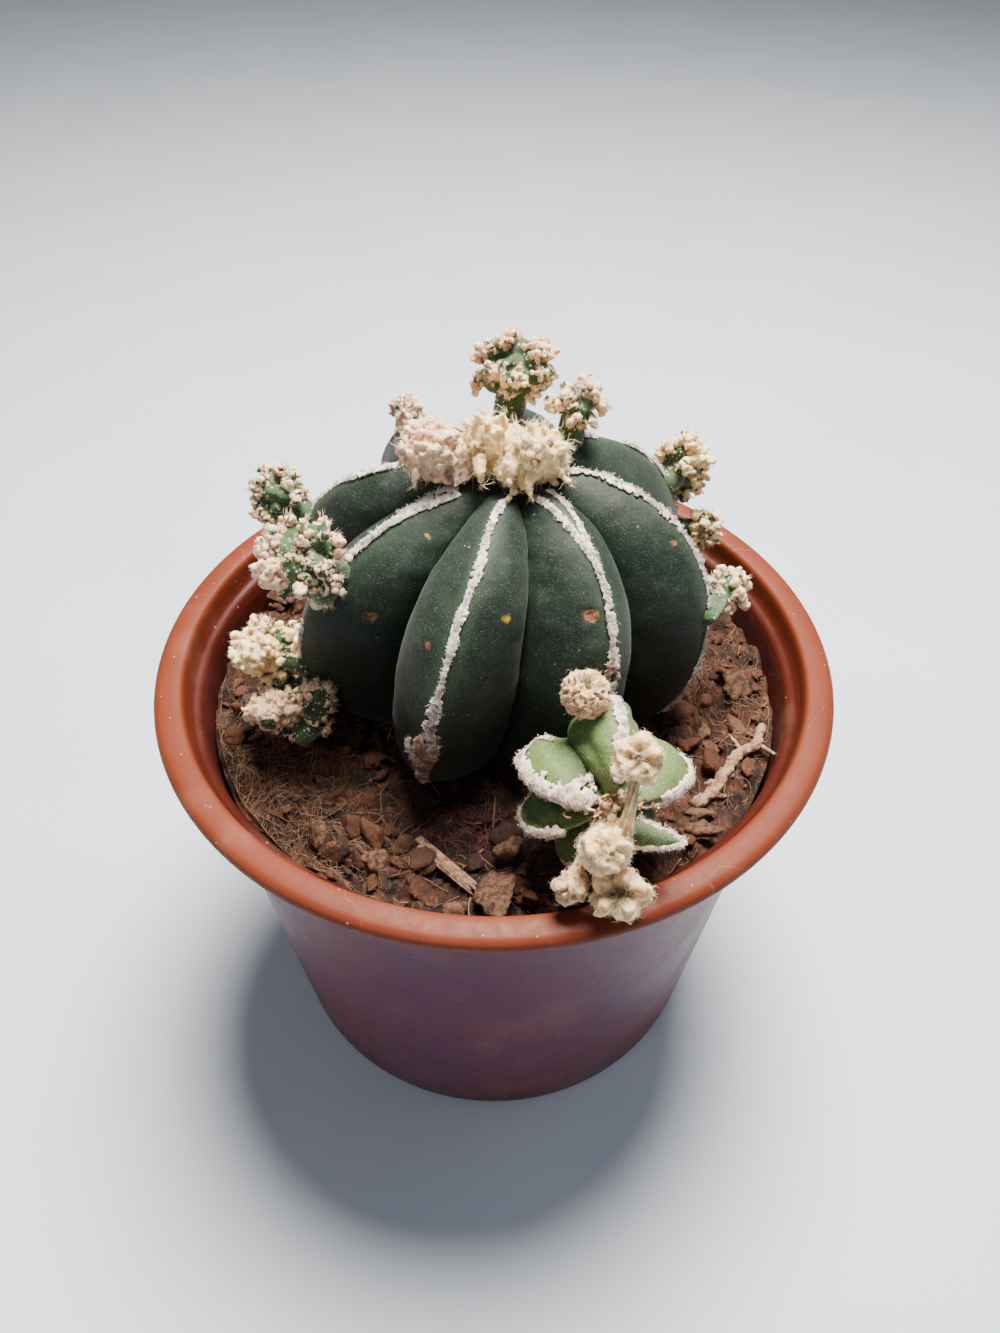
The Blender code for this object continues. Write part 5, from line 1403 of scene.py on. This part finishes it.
def barkMaterial(name):
    shade = Shade(name)
    grains = shade.noise(1.1, 5, 0.65, None, 0.6)
    shade.colour = shade.mix(shade.ramp(grains, 0.35, 0.66), *litter[name])
    shade.coat(litter["cracks"], shade.ramp(shade.noise(0.35, 3, 0.7), 0.36, 0.46, 0.7, 0.0))
    return shade.done(0.85, shade.height(grains, 0.2), Specular_IOR_Level=0.3)


def rod(path, radius, sides, rng, knobs):    # a rough rod along a path of points
    rough = 1 + knobs * rng.normal(0, 1, (1, len(path), 1)) * 0.5 + 0.12 * rng.normal(0, 1, (1, len(path), sides))
    return strands(path[None], radius, sides, 0.12, np.clip(rough, 0.5, 1.6)[:, :-1, :, None])


def along(path, steps):    # even smooth steps along a path
    path = np.array(path, float)
    run = np.concatenate([[0], np.cumsum(np.linalg.norm(np.diff(path, axis=0), axis=1))])
    fine = np.linspace(0, run[-1], steps)
    return np.column_stack([np.interp(fine, run, path[:, axis]) for axis in (0, 1)])


def makeLitter():
    rng, radius = np.random.default_rng(37), litter["twigRadius"]
    line = along(litter["twig"], 26)
    level = ground.height(line).max() + radius * 0.5
    way = unit(np.array([*(line[-1] - line[0]), 0.0]))
    cross = np.array([-way[1], way[0], 0.0])
    rods = []
    for shift in np.linspace(-1, 1, 7):    # a split splinter, its grain in long strips
        begin = np.array([*line[0], level]) + cross * shift * radius + way * rng.uniform(-1.4, 0.5)
        finish = np.array([*line[-1], level - 0.4]) + cross * shift * radius * 0.9 + way * rng.uniform(-0.6, 1.4)
        path = begin + (finish - begin) * np.linspace(0, 1, 16)[:, None] + up * (0.35 * (1 - shift * shift))
        rods.append(strands(path[None], radius * rng.uniform(0.30, 0.44), 7, 0.1))
    addPiece("twigPiece", joined(rods), barkMaterial("twigBark"), "twig_bark", "twig")

    line = along(litter["root"], 44)
    flat = np.column_stack([line, 0 * line[:, 0]])
    line = line + 0.35 * np.column_stack([grain(flat, 2.5, 5), grain(flat, 2.5, 6)])
    level = np.convolve(np.pad(ground.height(line), 4, "edge"), np.ones(9) / 9, "valid") + 0.8
    rods = [rod(np.column_stack([line, level]), litter["rootRadius"], 11, rng, 0.16)]
    for index in litter["branchesAt"]:
        heading = rng.uniform(0, math.tau)
        end = line[index] + rng.uniform(2.5, 5.5) * np.array([math.cos(heading), math.sin(heading)])
        height = level[index] + np.linspace(0, rng.uniform(-0.4, 0.9), 12)
        branch = np.column_stack([along((line[index], end), 12), height])
        rods.append(rod(branch, rng.uniform(0.3, 0.6), 6, rng, 0.3))
    addPiece("loosePaleRoot", joined(rods), barkMaterial("rootBark"), "root_bark", "loose_root")

    chip = barkMaterial("barkChip")
    for number in range(1, litter["chips"] + 1):
        low, high, middle = boxOf(f"bark_chip_{number}")
        size, spot = np.array([(high - low).max() * 0.62]), middle[None, :2]
        skin = brokenLumps(spot, size, ground.height(spot) + size * 0.45, rng, 3, 400 + number)
        addPiece(f"barkPiece_{number}", skin, chip, "bark", f"bark_chip_{number}")


setCamera()
setLight()
setFloor()
makePot()
makeStem()
addFelt("ribFelt", mainSkin, felt["strips"], woolMaterial("ribFelt"), "crown_wool", 40, 0)
makeOffsets()
makeCrown()
makeFront()
addFelt("frontFelt", frontSkin, front["strips"], woolMaterial("frontFelt"), "front_wool", 80, 20, 1.2, 1.35)
makeFrontBalls()
makeLeaf()
makeSoil()
makeClods()
makeRootHairs()
makeLitter()
